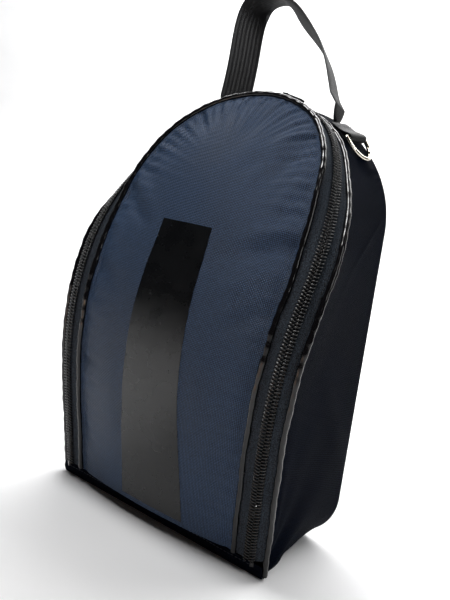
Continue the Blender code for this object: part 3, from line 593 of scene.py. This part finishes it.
def panel_rows(inset, depth, first=0):
    """Rows across the flap; crown is PANEL_CROWN (1 - t^2) smooth(x / widest)."""
    right = panel_edge[flap_line.half - 1:]
    widest = right[:, 0].max()
    spread = np.linspace(-1.0, 1.0, COLUMNS + 1)
    spread = np.sign(spread) * (1 - (1 - np.abs(spread)) ** 1.25)
    x_e, y_e, z_e = right[first:].T
    reach = np.where(x_e > inset, (x_e - inset) / np.maximum(x_e, 1e-6), 0.0)
    t = spread[None] * reach[:, None]
    crown = PANEL_CROWN * (1 - t * t) * smooth(x_e / widest)[:, None]
    grid = np.stack([x_e[:, None] * t, y_e[:, None] - crown + depth,
                     np.broadcast_to(z_e[:, None], t.shape)], 2)
    v = flap_line.v[flap_line.half - 1:][first:]
    return grid, np.broadcast_to(v[:, None], t.shape)


def panel_shape():
    grid, v = panel_rows(0.0, 0.0)
    gap, run = nearest(grid.reshape(-1, 3), panel_edge, flap_line.length)
    gap, run = gap.reshape(v.shape), run.reshape(v.shape)
    ahead = ahead_at(v)
    height = panel_relief(grid[..., 0], v, gap, run)
    # The edge tucks in under the piping
    tuck = -EDGE_TUCK * np.exp(-(gap / TUCK_WIDTH) ** 2)
    return grid + ahead * (height + tuck)[..., None], ahead, v


panel, panel_ahead, panel_v = panel_shape()
panel_uv = np.stack([panel[..., 0], panel_v], 2)
front = shell("front_cloth", panel, panel - panel_ahead * PANEL_SKIN, "front", panel_uv)
place(front, "flap", "oxford_front", "front_panel")

pad, pad_v = panel_rows(PAD_INSET, PAD_DEPTH, TOP_STEPS // 2)
pad_gap, pad_run = nearest(pad.reshape(-1, 3), flap_seam[0], flap_line.length)
pad_relief = panel_relief(pad[..., 0], pad_v, pad_gap.reshape(pad_v.shape),
                          pad_run.reshape(pad_v.shape))
pad_normal = -ahead_at(pad_v)
pad = pad - pad_normal * (pad_relief - PAD_LIFT)[..., None]
quilt = QUILT_HEIGHT * np.cos(pad[..., 0] * 2 * math.pi / QUILT_PITCH) * np.cos(
    pad_v * 2 * math.pi / QUILT_PITCH)
lining = shell("flap_lining", pad, pad + pad_normal * (PAD_THICK + quilt)[..., None], "lining",
               np.stack([pad[..., 0], pad_v], 2))
place(lining, "flap", "lining", "front_foam", "front_lining")


BAND_FOOT, BAND_TOP = 0.0145, 0.2275  # up the front
BAND_LOW, BAND_HIGH = (-0.0235, 0.0345), (-0.0290, 0.0160)  # left and right at each end
FILM_LOW, FILM_HIGH = 0.00010, 0.00028  # over the panel


def film():
    """A plain gloss band, heat-pressed down the panel: the panel's own surface between
    two lines that narrow upwards, raised by the film's thickness."""
    rows = np.linspace(BAND_FOOT, BAND_TOP, 200)
    share = (rows - rows[0]) / (rows[-1] - rows[0])
    left, right = [low + (high - low) * share for low, high in zip(BAND_LOW, BAND_HIGH)]
    order = np.argsort(panel_v[:, 0])
    v_rows = panel_v[order, 0]
    grid = []
    for v, a, b in zip(rows, left, right):
        k = min(max(np.searchsorted(v_rows, v), 1), len(v_rows) - 1)
        part = (v - v_rows[k - 1]) / (v_rows[k] - v_rows[k - 1])
        row = panel[order[k - 1]] * (1 - part) + panel[order[k]] * part
        x = np.linspace(a, b, 48)
        grid.append(np.stack([x, np.interp(x, row[:, 0], row[:, 1]),
                              np.interp(x, row[:, 0], row[:, 2])], 1))
    grid = np.array(grid)
    ahead = ahead_at(rows)[:, None]
    uv = np.stack([grid[..., 0], np.broadcast_to(rows[:, None], grid.shape[:2])], 2)
    return shell("gloss_band", grid + ahead * FILM_HIGH, grid + ahead * FILM_LOW, "film", uv)


place(film(), "flap", "oxford_front")


# ---------------------------------------------------------------- zip

CORD_AT, CORD_WIDTH, CORD_RISE = 0.0048, 0.0006, 0.00025
TAPE_SWAY, SWAY_PITCH = 0.00025, 0.031
COIL_WIRE, COIL_BITE, COIL_OVERLAP = 0.00055, 0.0005, 0.00030


def tape(side, flare, width, sign):
    """Tape of one side. Its section thickens to a woven cord at the coil's edge."""
    across, off = flap_line.slanted(flare)
    edge = width - PIPING * 0.5
    a = np.array([0.0004, 0.0016, 0.0038, 0.0046, 0.0053, 0.0062, 0.0080, 0.0096, edge])
    ridge = CORD_RISE * np.exp(-((a - CORD_AT) / CORD_WIDTH) ** 2)
    half = TAPE_THICK / 2
    section = np.concatenate([np.stack([sign * a, half + ridge], 1),
                              np.stack([sign * a[::-1], np.full(len(a), -half)], 1)])
    sway = TAPE_SWAY * np.sin(flap_line.length * 2 * math.pi / SWAY_PITCH)
    rings = rings_at(flap_line.place, across, off, section)
    outward = smooth((np.abs(section[:, 0]) - 0.004) / 0.006)
    rings += off[:, None] * (sway[:, None] * outward[None])[..., None]
    return tube(f"{side}_tape", rings, "tape", flap_line.length)


def coil(side, flare, sign):
    """Nylon coil: a flat helix, (a, b) = (w cos q, h sin q) with q = 2 pi s / pitch."""
    across, off = flap_line.slanted(flare)
    per_turn = 12
    at, (where, over, away) = flap_line.resampled(COIL_PITCH / per_turn,
                                                  flap_line.place, across, off)
    q = 2 * math.pi * at / COIL_PITCH + (0.0 if sign > 0 else math.pi)
    wide, high = COIL_WIDTH / 2, COIL_HEIGHT / 2 - COIL_BITE
    middle = COIL_WIDTH / 2 - COIL_OVERLAP
    low = TAPE_THICK / 2 + COIL_HEIGHT / 2 + 0.00005
    path = (where + over * (sign * (middle + wide * np.cos(q)))[:, None]
            + away * (low + high * np.sin(q))[:, None])
    way = unit(np.gradient(path, axis=0))
    first = unit(np.cross(way, np.gradient(where, axis=0)))
    second = unit(np.cross(way, first))
    rings = rings_at(path, first, second, circle(6, COIL_WIRE))
    return tube(f"{side}_coil", rings, "coil", at, sharp=80)


for side, body, flare, width, sign in (("flap", "flap", FLAP_FLARE, FLAP_TAPE, -1),
                                       ("body", "bag", BODY_FLARE, BODY_TAPE, 1)):
    place(tape(side, flare, width, sign), body, "zip_tape", f"zip_tape_{side}")
    place(coil(side, flare, sign), body, "nylon_coil", f"zip_coil_{side}")


# ---------------------------------------------------------------- pipings

SWELL, SWELL_PITCH, SLOW_SWELL_PITCH, WANDER_PITCH = 0.00016, 0.0093, 0.0231, 0.047
FLANGE_HALF = 0.0006
BINDING_INNER, BINDING_OUTER, BINDING_START = 0.0010, 0.0018, 0.0045
BINDING_EASE, BINDING_CHAMFER = 0.0003, 0.0006


def piping(name, seam, line, phase):
    """A folded strip round a cord: a round section with two flange layers below it,
    swelling a little between its stitches."""
    centre, sideways, inward = seam
    count = 16
    half = FLANGE_HALF
    start = math.asin(half / PIPING)
    turn = np.linspace(start, 2 * math.pi - start, count)
    loop = np.stack([PIPING * np.sin(turn), PIPING * np.cos(turn)], 1)
    end = PIPING + FLANGE
    section = np.concatenate([loop, [(-half, end), (half, end)]])
    rings = rings_at(centre, sideways, inward, section)
    run = line.length
    swell = (SWELL * np.sin(run * 2 * math.pi / SWELL_PITCH + phase + 1.3 * np.sin(run * 23))
             + SWELL * 0.8 * np.sin(run * 2 * math.pi / SLOW_SWELL_PITCH + 2 * phase))
    wander = SWELL * 1.6 * np.sin(run * 2 * math.pi / WANDER_PITCH + phase)
    rings[:, :count] += (rings[:, :count] - centre[:, None]) * (swell / PIPING)[:, None, None]
    rings[:, :count] += sideways[:, None] * wander[:, None, None]
    return tube(name, rings, "piping", run, sharp=60)


def binding(name, seam, line):
    """Bias tape folded over the seam's raw edge."""
    inner, outer, ease = BINDING_INNER, BINDING_OUTER, BINDING_EASE
    start, end = PIPING + BINDING_START, PIPING + FLANGE + 0.0004
    shoulder, top, flat = end + 0.0004, end + 0.0009, outer - BINDING_CHAMFER
    section = [(inner, start), (outer, start + ease), (outer, shoulder), (flat, top),
               (-flat, top), (-outer, shoulder), (-outer, start + ease), (-inner, start),
               (-inner, end), (inner, end)]
    centre, sideways, inward = seam
    return tube(name, rings_at(centre, sideways, inward, section), "binding", line.length)


place(piping("front_piping_strip", flap_seam, flap_line, phase=0.4), "flap", "gloss_vinyl",
      "front_piping", "front_piping_cord")
place(binding("flap_binding_tape", flap_seam, flap_line), "flap", "binding",
      "flap_seam_binding")
place(piping("body_piping_strip", body_seam, long_line, phase=1.9), "bag", "gloss_vinyl",
      "body_piping", "body_piping_cord")
place(binding("body_binding_tape", body_seam, long_line), "bag", "binding",
      "body_seam_binding")


# ---------------------------------------------------------------- gusset, back and base

GUSSET_FOLDS = 14  # shallow dents and ridges at random places
FAN_HEIGHT, FAN_START, FAN_RAMP, FAN_REACH = 0.0030, 0.004, 0.02, 0.065
BELLY, BELLY_REACH, SLACK = 0.0085, 0.040, 0.0012
SEAM_RIPPLE, RIPPLE_PITCH = 0.0003, 0.013


def gusset_surface(columns=44):
    start = body_seam[0]
    way = unit(back_edge - start)
    square = np.sqrt(1 - (way * long_line.along).sum(1, keepdims=True) ** 2)
    first = start + way * (PIPING * 0.7) / square
    last = back_edge - way * CLEAR
    share = np.linspace(0.0, 1.0, columns + 1)
    grid = first[:, None] + (last - first)[:, None] * share[None, :, None]
    normal = normals(grid)
    if normal[len(grid) // 2, columns // 2, 2] < 0:
        normal = -normal
    run = long_line.length[:, None] + 0 * share[None]
    side = run[-1, 0]
    from_foot = np.minimum(run, side - run)
    across = np.linalg.norm(last - first, axis=1)[:, None] * share[None]
    height = np.zeros_like(run)
    # Creases fan out of the lower front corner: sin(k angle) fading with distance
    far = np.hypot(from_foot + FAN_START, across + FAN_START)
    fan = np.arctan2(across + FAN_START, from_foot + FAN_START)
    fade = smooth(far / FAN_RAMP) * np.exp(-far / FAN_REACH)
    phase = np.where(run > side / 2, 0.0, 1.7)
    height += FAN_HEIGHT * fade * (np.sin(fan * 9 + phase) + 0.5 * np.sin(fan * 17 + 2 * phase))
    # It bellies out beside the base, by sin(pi share) exp(-(height / BELLY_REACH)^2)
    height += BELLY * np.sin(math.pi * share)[None] * np.exp(-(from_foot / BELLY_REACH) ** 2)
    # Slack between the seams
    height += -SLACK * np.sin(math.pi * share)[None]
    for _ in range(GUSSET_FOLDS):
        at = rng.uniform(0.06, 0.94) * side
        mid = rng.uniform(0.1, 0.9)
        slant = rng.uniform(-0.8, 0.8)
        wide = rng.uniform(0.007, 0.013)
        amount = rng.choice([-1, 1]) * rng.uniform(0.0005, 0.0012)
        p = run - at + slant * (across - mid * 0.08)
        q = share[None] - mid
        height += amount * np.exp(-(p / wide) ** 2 - (q / 0.28) ** 2)
    height += SEAM_RIPPLE * np.sin(run * 2 * math.pi / RIPPLE_PITCH + np.sin(run * 40)) * (
        np.exp(-across / 0.008) + np.exp(-(across.max(1, keepdims=True) - across) / 0.007))
    hold = smooth(share / 0.06)[None] * smooth((1 - share) / 0.06)[None]
    ends = 0.75 + 0.25 * smooth(from_foot / 0.02)
    grid = grid + normal * (height * hold * ends)[..., None]
    grid[..., 2] = np.maximum(grid[..., 2], 0.0)
    grid[[0, -1], :, 2] = 0.0
    return grid, normal, np.stack([across, run], 2)


gusset, gusset_normal, gusset_uv = gusset_surface()
skin = shell("gusset_cloth", gusset, gusset - gusset_normal * WALL, "side", gusset_uv)
place(skin, "bag", "oxford_side", "gusset")
lined = (slice(6, -6), slice(3, -3))
inside = gusset[lined] - gusset_normal[lined] * (WALL + CLEAR)
place(shell("gusset_lining_cloth", inside, inside - gusset_normal[lined] * LINING,
            "lining", gusset_uv[lined]), "bag", "lining", "gusset_lining")


LINING_INSET, BACK_TUCK, LINING_TUCK, SEAM_RADIUS = 0.012, 0.0030, 0.0034, 0.0011


def back_surface(depth, inset, tuck):
    """Rows across the back; crown is BACK_CROWN (1 - t^2) sqrt(sin(pi z / height))."""
    half = len(back_edge) // 2
    inwards = -back_out * tuck
    right = (back_edge + inwards)[half:]
    widest = right[:, 0].max()
    spread = np.linspace(-1.0, 1.0, 61)
    x_e, y_e, z_e = right.T
    reach = np.maximum(x_e - inset, 0.0) / np.maximum(x_e, 1e-6)
    t = spread[None] * reach[:, None]
    rise = np.sin(math.pi * np.clip(z_e / BACK_HEIGHT, 0, 1)) ** 0.5
    crown = BACK_CROWN * (1 - t * t) * (x_e / widest * rise)[:, None]
    x = x_e[:, None] * t
    z = np.broadcast_to(np.maximum(z_e, 0.0)[:, None], t.shape)
    slack = 0.0009 * np.sin(z * 55 + 1.0) * np.sin(x * 47 + 0.4) + 0.0005 * np.sin(
        z * 140 + x * 90)
    slack = slack * (1 - t * t) * smooth(z / 0.02) * smooth((BACK_HEIGHT - z) / 0.03)
    return np.stack([x, y_e[:, None] + crown + slack - depth, z], 2)


outer = back_surface(0.0, 0.0, BACK_TUCK)
place(shell("back_cloth", outer, outer - BACKWARDS * WALL, "side", outer[..., [0, 2]]), "bag",
      "oxford_side", "back_panel")
trim = slice(TOP_STEPS // 2, -CORNER_STEPS)
outer = back_surface(WALL + CLEAR, LINING_INSET, LINING_TUCK)[trim]
place(shell("back_lining_cloth", outer, outer - BACKWARDS * LINING, "lining",
            outer[..., [0, 2]]), "bag", "lining", "back_lining")


def back_seam():
    """The bound seam inside, where the back and the gusset meet."""
    way = unit(gusset[:, 0] - gusset[:, -1])
    slant = (way * -back_out).sum(1)[:, None]
    corner = np.sqrt(np.maximum(1 - slant * slant, 0.1))
    centre = back_edge + (way - back_out) * (WALL + 3 * CLEAR + SEAM_RADIUS) / corner
    ring = circle(10, SEAM_RADIUS)
    cut = slice(TOP_STEPS // 8, -(TOP_STEPS // 8))
    return tube("back_binding_tape", rings_at(centre, way, -back_out, ring)[cut], "binding",
                long_line.length[cut])


place(back_seam(), "bag", "binding", "back_seam_binding")


def base_surface(inset, low):
    """Flat; its half width at y is the gusset's foot there, less the wall."""
    foot = gusset[-1][np.argsort(gusset[-1, :, 1])]
    near = foot[0, 1] - PIPING
    far = back_edge[-1, 1] - WALL - 2 * CLEAR
    share = np.linspace(0, 1, 41)
    y = near + inset + (far - near - 2 * inset) * share
    reach = np.interp(y, foot[:, 1], foot[:, 0]) - WALL - 2 * CLEAR - inset
    spread = np.linspace(-1, 1, 61)
    x = spread[None] * reach[:, None]
    y = np.broadcast_to(y[:, None], x.shape)
    # The cloth lifts a little between its corners where nothing presses it down
    edge = np.minimum(1 - np.abs(spread)[None] + 0 * y, np.minimum(share, 1 - share)[:, None] * 2)
    lift = 0.0002 * (1 - smooth(edge / 0.1)) * np.abs(np.sin(x * 140 + y * 90))
    return np.stack([x, y, low + lift], 2)


for name, node, inset, low, thick, finish, slot in (
        ("base_cloth", "base_panel", 0.0, 0.0, WALL, "side", "oxford_side"),
        ("base_lining_cloth", "base_lining", LINING_INSET, WALL + CLEAR, LINING, "lining",
         "lining")):
    bottom = base_surface(inset, low)
    place(shell(name, bottom + UP * thick, bottom, finish, bottom[..., :2]), "bag", slot, node)


# ---------------------------------------------------------------- sill and stitches

def sill():
    """The strip under the flap's fold, from the base's front edge up to the fold."""
    low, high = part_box("front_sill")
    reach = float(body_seam[0][-1, 0]) - PIPING * 0.4
    base_y = gusset[-1, 0, 1] - PIPING - CLEAR
    lean = math.tan(FOOT_LEAN)
    grid_x, grid_z = np.meshgrid(np.linspace(-reach, reach, 181), np.linspace(low.z, high.z, 13))
    bow = np.sin(math.pi * (grid_z - low.z) / (high.z - low.z))
    sag = 0.0005 * np.sin(grid_x * 2 * math.pi / 0.041 + 0.6) * bow
    roll = -0.0008 * bow ** 2
    y = base_y - WALL + lean * (grid_z - low.z) + sag + roll
    grid = np.stack([grid_x, y, grid_z], 2)
    return grid, shell("sill_cloth", grid, grid + BACKWARDS * WALL, "side", grid[..., [0, 2]])


sill_grid, sill_cloth = sill()
place(sill_cloth, "bag", "oxford_front", "front_sill")


THREAD_LIFT, THREAD_BOW = 0.0001, 0.00022


def stitches(name, path, up, pitch=0.0032, length=0.0024, radius=0.00022):
    """A row of stitches: each is a short capsule bowed off the cloth by sin(pi s)."""
    run = lengths(path)
    points, faces = [], []
    rows, sides = 7, 6
    ring = circle(sides, 1.0)
    s = np.linspace(0.0, 1.0, rows)
    tip = rows * sides
    end = tip - sides
    j = np.arange(sides)
    n = (j + 1) % sides
    caps = [np.stack([n, j, np.full(sides, tip), np.full(sides, tip)], 1),
            np.stack([end + j, end + n, np.full(sides, tip + 1), np.full(sides, tip + 1)], 1)]
    capsule = np.concatenate([grid_quads(rows, sides, wrap=True), *caps])
    for start in np.arange(0.0, run[-1] - length, pitch):
        at = start + length * s
        line, lift = sample(at, run, path), sample(at, run, up)
        line = line + lift * (THREAD_LIFT + THREAD_BOW * np.sin(math.pi * s))[:, None]
        way = unit(np.gradient(line, axis=0))
        side = unit(np.cross(way, lift))
        thin = radius * np.sqrt(np.clip(1 - (2 * s - 1) ** 4, 0.05, 1))
        rings = (line[:, None] + side[:, None] * (ring[None, :, 0] * thin[:, None])[..., None]
                 + lift[:, None] * (ring[None, :, 1] * thin[:, None])[..., None])
        base = (tip + 2) * len(points)
        points.append(np.concatenate([rings.reshape(-1, 3), [line[0], line[-1]]]))
        inside_out = signed(points[-1] - points[-1].mean(0), capsule) < 0
        faces.append((capsule[:, ::-1] if inside_out else capsule) + base)
    points = np.concatenate(points)
    return fast(name, points, np.concatenate(faces), "thread", np.zeros((len(points), 2)), 60)


sill_line = sill_grid[9]
sill_up = np.broadcast_to(unit(np.array([0.0, -1.0, -0.33])), sill_line.shape)
place(stitches("sill_stitches", sill_line[6:-6], sill_up[6:-6]), "bag", "oxford_front")

row = slice(8, -8)
for side, body, flare, reach in (("body", "bag", BODY_FLARE, BODY_TAPE - 0.0032),
                                 ("flap", "flap", FLAP_FLARE, 0.0032 - FLAP_TAPE)):
    across, off = flap_line.slanted(flare)
    place(stitches(f"{side}_tape_stitches",
                   (flap_line.place + across * reach + off * 0.0005)[row],
                   off[row], 0.0030, 0.0021, 0.00018), body, "zip_tape")


# ---------------------------------------------------------------- webbing and ring

def ribbon(name, path, wide, thick, width, depth, taper=None):
    """Webbing: cords along it, b = depth/2 (1 + 0.14 cos(2 pi a / 2 mm)) across it."""
    a = np.linspace(-1, 1, 41)
    bulge = (1 - np.abs(a) ** 14) * (1 + 0.14 * np.cos(a * math.pi * 12.5))
    bulge = np.maximum(bulge, 0.35)
    top = np.stack([a, bulge], 1)
    low = np.stack([a[::-1], -bulge[::-1]], 1)
    section = np.concatenate([top, low])
    size = np.ones(len(path)) if taper is None else taper
    rings = (path[:, None]
             + wide[:, None] * (section[None, :, 0] * size[:, None] * width / 2)[..., None]
             + thick[:, None] * (section[None, :, 1] * depth / 2 + 0 * size[:, None])[..., None])
    around = section[:, 0] * width / 2
    return tube(name, rings, "webbing", lengths(path), around, sharp=50)


HANDLE_HALF_SPAN, HANDLE_OFFSET, HANDLE_RISE, HANDLE_LEAN = 0.0486, -0.0065, 0.094, -0.38
HANDLE_TWISTS = np.radians((46, 50, 8, -33, -10))
HANDLE_CLOSE, HANDLE_SQUARENESS = 0.34, 0.62
TAB_LAYER, EYE_REACH, EYE_EASE = 0.0015, 0.004, 0.008
RING_DEPTH, RING_HALF, RING_WIRE = 0.018, 0.0145, 0.0016


def handle():
    """z = rise sin(t)^0.62, x = -span cos(t) + lean z sin(t): a loop that leans left;
    the strap twists from one foot to the other."""
    pivot = joint("handle_swing")["pos_m"]
    half = WEBBING_WIDTH / 2
    rise = HANDLE_RISE - half
    turn = np.linspace(0.0, math.pi, 161)
    x = -HANDLE_HALF_SPAN * np.cos(turn)
    z = rise * np.sin(turn) ** HANDLE_SQUARENESS
    x = x + HANDLE_OFFSET + HANDLE_LEAN * z * np.sin(turn)
    lean_in = HANDLE_CLOSE * rise * (z / rise) ** 0.6
    x = x - lean_in * smooth((turn / math.pi - 0.45) / 0.4)
    line = np.stack([x, np.full_like(x, pivot[1]), pivot[2] + z], 1)
    way = unit(np.gradient(line, axis=0))
    way[0], way[-1] = UP, -UP
    share = turn / math.pi * (len(HANDLE_TWISTS) - 1)
    low = np.minimum(share.astype(int), len(HANDLE_TWISTS) - 2)
    part = smooth(share - low)
    twist = HANDLE_TWISTS[low] * (1 - part) + HANDLE_TWISTS[low + 1] * part
    wide = np.stack([np.sin(twist), np.cos(twist), 0 * twist], 1)
    wide = unit(wide - way * (wide * way).sum(1, keepdims=True))
    thick = unit(np.cross(wide, way))
    drop = np.sin(np.linspace(math.pi / 2 * 0.97, 0, 14, endpoint=False))
    narrow = np.sqrt(1 - drop ** 2)
    first = line[0] - UP * (half * drop)[:, None]
    last = (line[-1] - UP * (half * drop)[:, None])[::-1]
    path = np.concatenate([first, line, last])
    wide, thick = [np.pad(field, ((len(drop), len(drop)), (0, 0)), "edge")
                   for field in (wide, thick)]
    taper = np.concatenate([np.maximum(narrow, 0.2), np.ones(len(line)),
                            np.maximum(narrow[::-1], 0.2)])
    return ribbon("handle_webbing", path, wide, thick, WEBBING_WIDTH, WEBBING_THICK, taper)


place(handle(), "handle", "webbing", "handle")


def farthest(name, origin, axis, share):
    """Direction, square to the axis, from the origin to the far end of a frame's node."""
    points = np.array([v.co for v in frame["nodes"][name].data.vertices]) - origin
    points = points - axis * (points @ axis)[:, None]
    reach = np.linalg.norm(points, axis=1)
    way = unit(points[reach > reach.max() * share].mean(0))
    return way, float(points[reach.argmax()] @ way)


def ring_tab(bar, across):
    """One strip: up from the seam, round the ring's bar by 180 degrees, and back below."""
    back, length = farthest("ring_tab", bar, across, 0.97)
    off = unit(np.cross(across, back))
    if off[2] < 0:
        off = -off
    mid = RING_WIRE + CLEAR + TAB_LAYER / 2
    flat = np.linspace(length, EYE_REACH, 14)
    layer = CLEAR / 2 + TAB_LAYER / 2
    ease = smooth((EYE_EASE - flat) / EYE_EASE)
    upper = bar + back * flat[:, None] + off * (layer + (mid - layer) * ease)[:, None]
    lower = bar + back * flat[:, None] - off * (layer + (mid - layer) * ease)[:, None]
    turn = np.linspace(math.pi / 2, -math.pi / 2, 15)
    bend = bar - back * (np.cos(turn) * mid)[:, None] + off * (np.sin(turn) * mid)[:, None]
    path = np.concatenate([upper, bend, lower[::-1]])
    wide = np.repeat(across[None], len(path), 0)
    face = unit(np.cross(wide, unit(np.gradient(path, axis=0))))
    return ribbon("tab_webbing", path, wide, face, WEBBING_WIDTH, TAB_LAYER), upper, off


def ring_wire(bar, across):
    """A straight bar and a bow of depth sin(t)^0.8, with softened corners."""
    out = farthest("d_ring", bar, across, 0.9)[0]
    turn = np.linspace(0.0, math.pi, 61)
    bow = np.stack([RING_HALF * np.cos(turn), RING_DEPTH * np.sin(turn) ** 0.8], 1)
    straight = np.stack([np.linspace(-RING_HALF, RING_HALF, 16)[1:-1], np.zeros(14)], 1)
    closed = np.concatenate([bow, straight, bow[:1]])
    run = lengths(closed)
    even = np.linspace(0, run[-1], 120, endpoint=False)
    flat = sample(even, run, closed)
    for _ in range(3):
        flat = (np.roll(flat, 1, 0) + 2 * flat + np.roll(flat, -1, 0)) / 4
    path = bar + across * flat[:, :1] + out * flat[:, 1:]
    way = unit(np.roll(path, -1, 0) - np.roll(path, 1, 0))
    face = np.repeat(unit(np.cross(across, out))[None], len(path), 0)
    rings = rings_at(path, unit(np.cross(way, face)), face, circle(14, RING_WIRE))
    return tube("ring_wire", rings, "nickel", np.append(even, run[-1]), closed=True, sharp=80)


ring_joint = joint("d_ring_swing")
bar = np.array(ring_joint["pos_m"])
bar_way = -unit(np.array(ring_joint["axis"]))
tab, tab_upper, tab_off = ring_tab(bar, bar_way)
ring = ring_wire(bar, bar_way)
place(tab, "bag", "webbing", "ring_tab")
place(ring, "d_ring", "nickel", "d_ring")
seam = tab_upper[5] + bar_way * np.linspace(-0.011, 0.011, 20)[:, None] + tab_off * 0.00085
place(stitches("tab_stitches", seam, np.repeat(tab_off[None], 20, 0)), "bag", "webbing")

# ---------------------------------------------------------------- hard pieces of the frame

for name, node in frame["nodes"].items():
    if name.startswith(("zip_slider", "zip_pull", "zip_stop")):
        node.data.materials.clear()
        node.data.materials.append(MATERIALS["metal" if "stop" not in name else "coil"])
        soften = node.modifiers.new("edges", "BEVEL")
        soften.width = 0.0003
        soften.segments = 2
        soften.limit_method = "ANGLE"


# ---------------------------------------------------------------- stage, lights and camera

def stage():
    """Floor and backdrop in one curved sheet."""
    bend = np.linspace(0, 1.4, 12)
    front_y, back_y, radius, top, half_width, below = -2.5, 1.0, 0.6, 3.0, 3.0, 0.0002
    y = np.concatenate([np.linspace(front_y, back_y, 8), back_y + radius * np.sin(bend), [1.65]])
    z = np.concatenate([np.zeros(8), radius * (1 - np.cos(bend)), [top]])
    rows = np.stack([np.zeros_like(y), y, z - below], 1)
    side = np.array([half_width, 0, 0])
    grid = np.stack([rows - side, rows + side], 1)
    turn = math.radians(33)
    c, s = math.cos(turn), math.sin(turn)
    grid = grid @ np.array([[c, s, 0], [-s, c, 0], [0, 0, 1]])
    mesh = bpy.data.meshes.new("backdrop")
    mesh.from_pydata(grid.reshape(-1, 3).tolist(), [], grid_quads(len(y), 2).tolist())
    mesh.materials.append(MATERIALS["stage"])
    mesh.shade_smooth()
    made = bpy.data.objects.new("backdrop", mesh)
    bpy.context.scene.collection.objects.link(made)


def light(name, where, aim, size, power, colour="#ffffff"):
    data = bpy.data.lights.new(name, "AREA")
    data.shape = "RECTANGLE"
    data.size, data.size_y = size
    data.energy = power
    data.color = srgb(colour)[:3]
    made = bpy.data.objects.new(name, data)
    bpy.context.scene.collection.objects.link(made)
    z = unit(np.array(where) - np.array(aim))
    x = unit(np.cross(UP if abs(z[2]) < 0.99 else BACKWARDS, z))
    y = np.cross(z, x)
    made.matrix_world = Matrix([[x[k], y[k], z[k], where[k]] for k in range(3)] + [[0, 0, 0, 1]])


def camera():
    """The viewpoint: 33 degrees to the right of the front, level with the bag's middle,
    rolled by 15 degrees."""
    azimuth, elevation, distance = 0.578, 0.057, 0.5523
    roll, pan, tilt = 0.259, -0.019, 0.005
    target = np.array([0.0, 0.050 + SHIFT, 0.170])
    back = np.array([math.sin(azimuth) * math.cos(elevation),
                     -math.cos(azimuth) * math.cos(elevation), math.sin(elevation)])
    where = target + back * distance
    right = unit(np.cross(-back, UP))
    up = np.cross(right, -back)
    ahead = unit(-back + pan * right + tilt * up)
    right = unit(np.cross(ahead, up))
    up = np.cross(right, ahead)
    c, s = math.cos(roll), math.sin(roll)
    right, up = c * right + s * up, -s * right + c * up
    data = bpy.data.cameras.new("camera")
    data.lens = 42.08
    data.sensor_width = 36.0
    data.clip_start = 0.01
    made = bpy.data.objects.new("camera", data)
    bpy.context.scene.collection.objects.link(made)
    made.matrix_world = Matrix(
        [[right[k], up[k], -ahead[k], where[k]] for k in range(3)] + [[0, 0, 0, 1]])
    bpy.context.scene.camera = made


stage()
camera()
light("key", (-0.12, -0.24, 0.78), (0, -0.06, 0.34), (0.22, 0.22), 3.4)
light("strip", (0.62, -0.20, 0.62), (0, 0, 0.25), (0.05, 0.5), 1.2)
light("warm", (0.05, -0.50, 0.02), (0.0, -0.05, 0.03), (0.3, 0.03), 0.22, "#c88c50")
light("wash", (-0.3, 1.3, 1.7), (-0.4, 1.7, 0.7), (2.6, 1.2), 46.0)
light("floor_wash", (-0.3, 0.9, 1.5), (-0.2, 1.0, 0.0), (2.2, 1.2), 26.0)
world = bpy.data.worlds.new("studio")
world.use_nodes = True
world.node_tree.nodes["Background"].inputs[0].default_value = srgb("#f4f6fa")
world.node_tree.nodes["Background"].inputs[1].default_value = 0.035
bpy.context.scene.world = world
bpy.context.scene.view_settings.view_transform = "Standard"
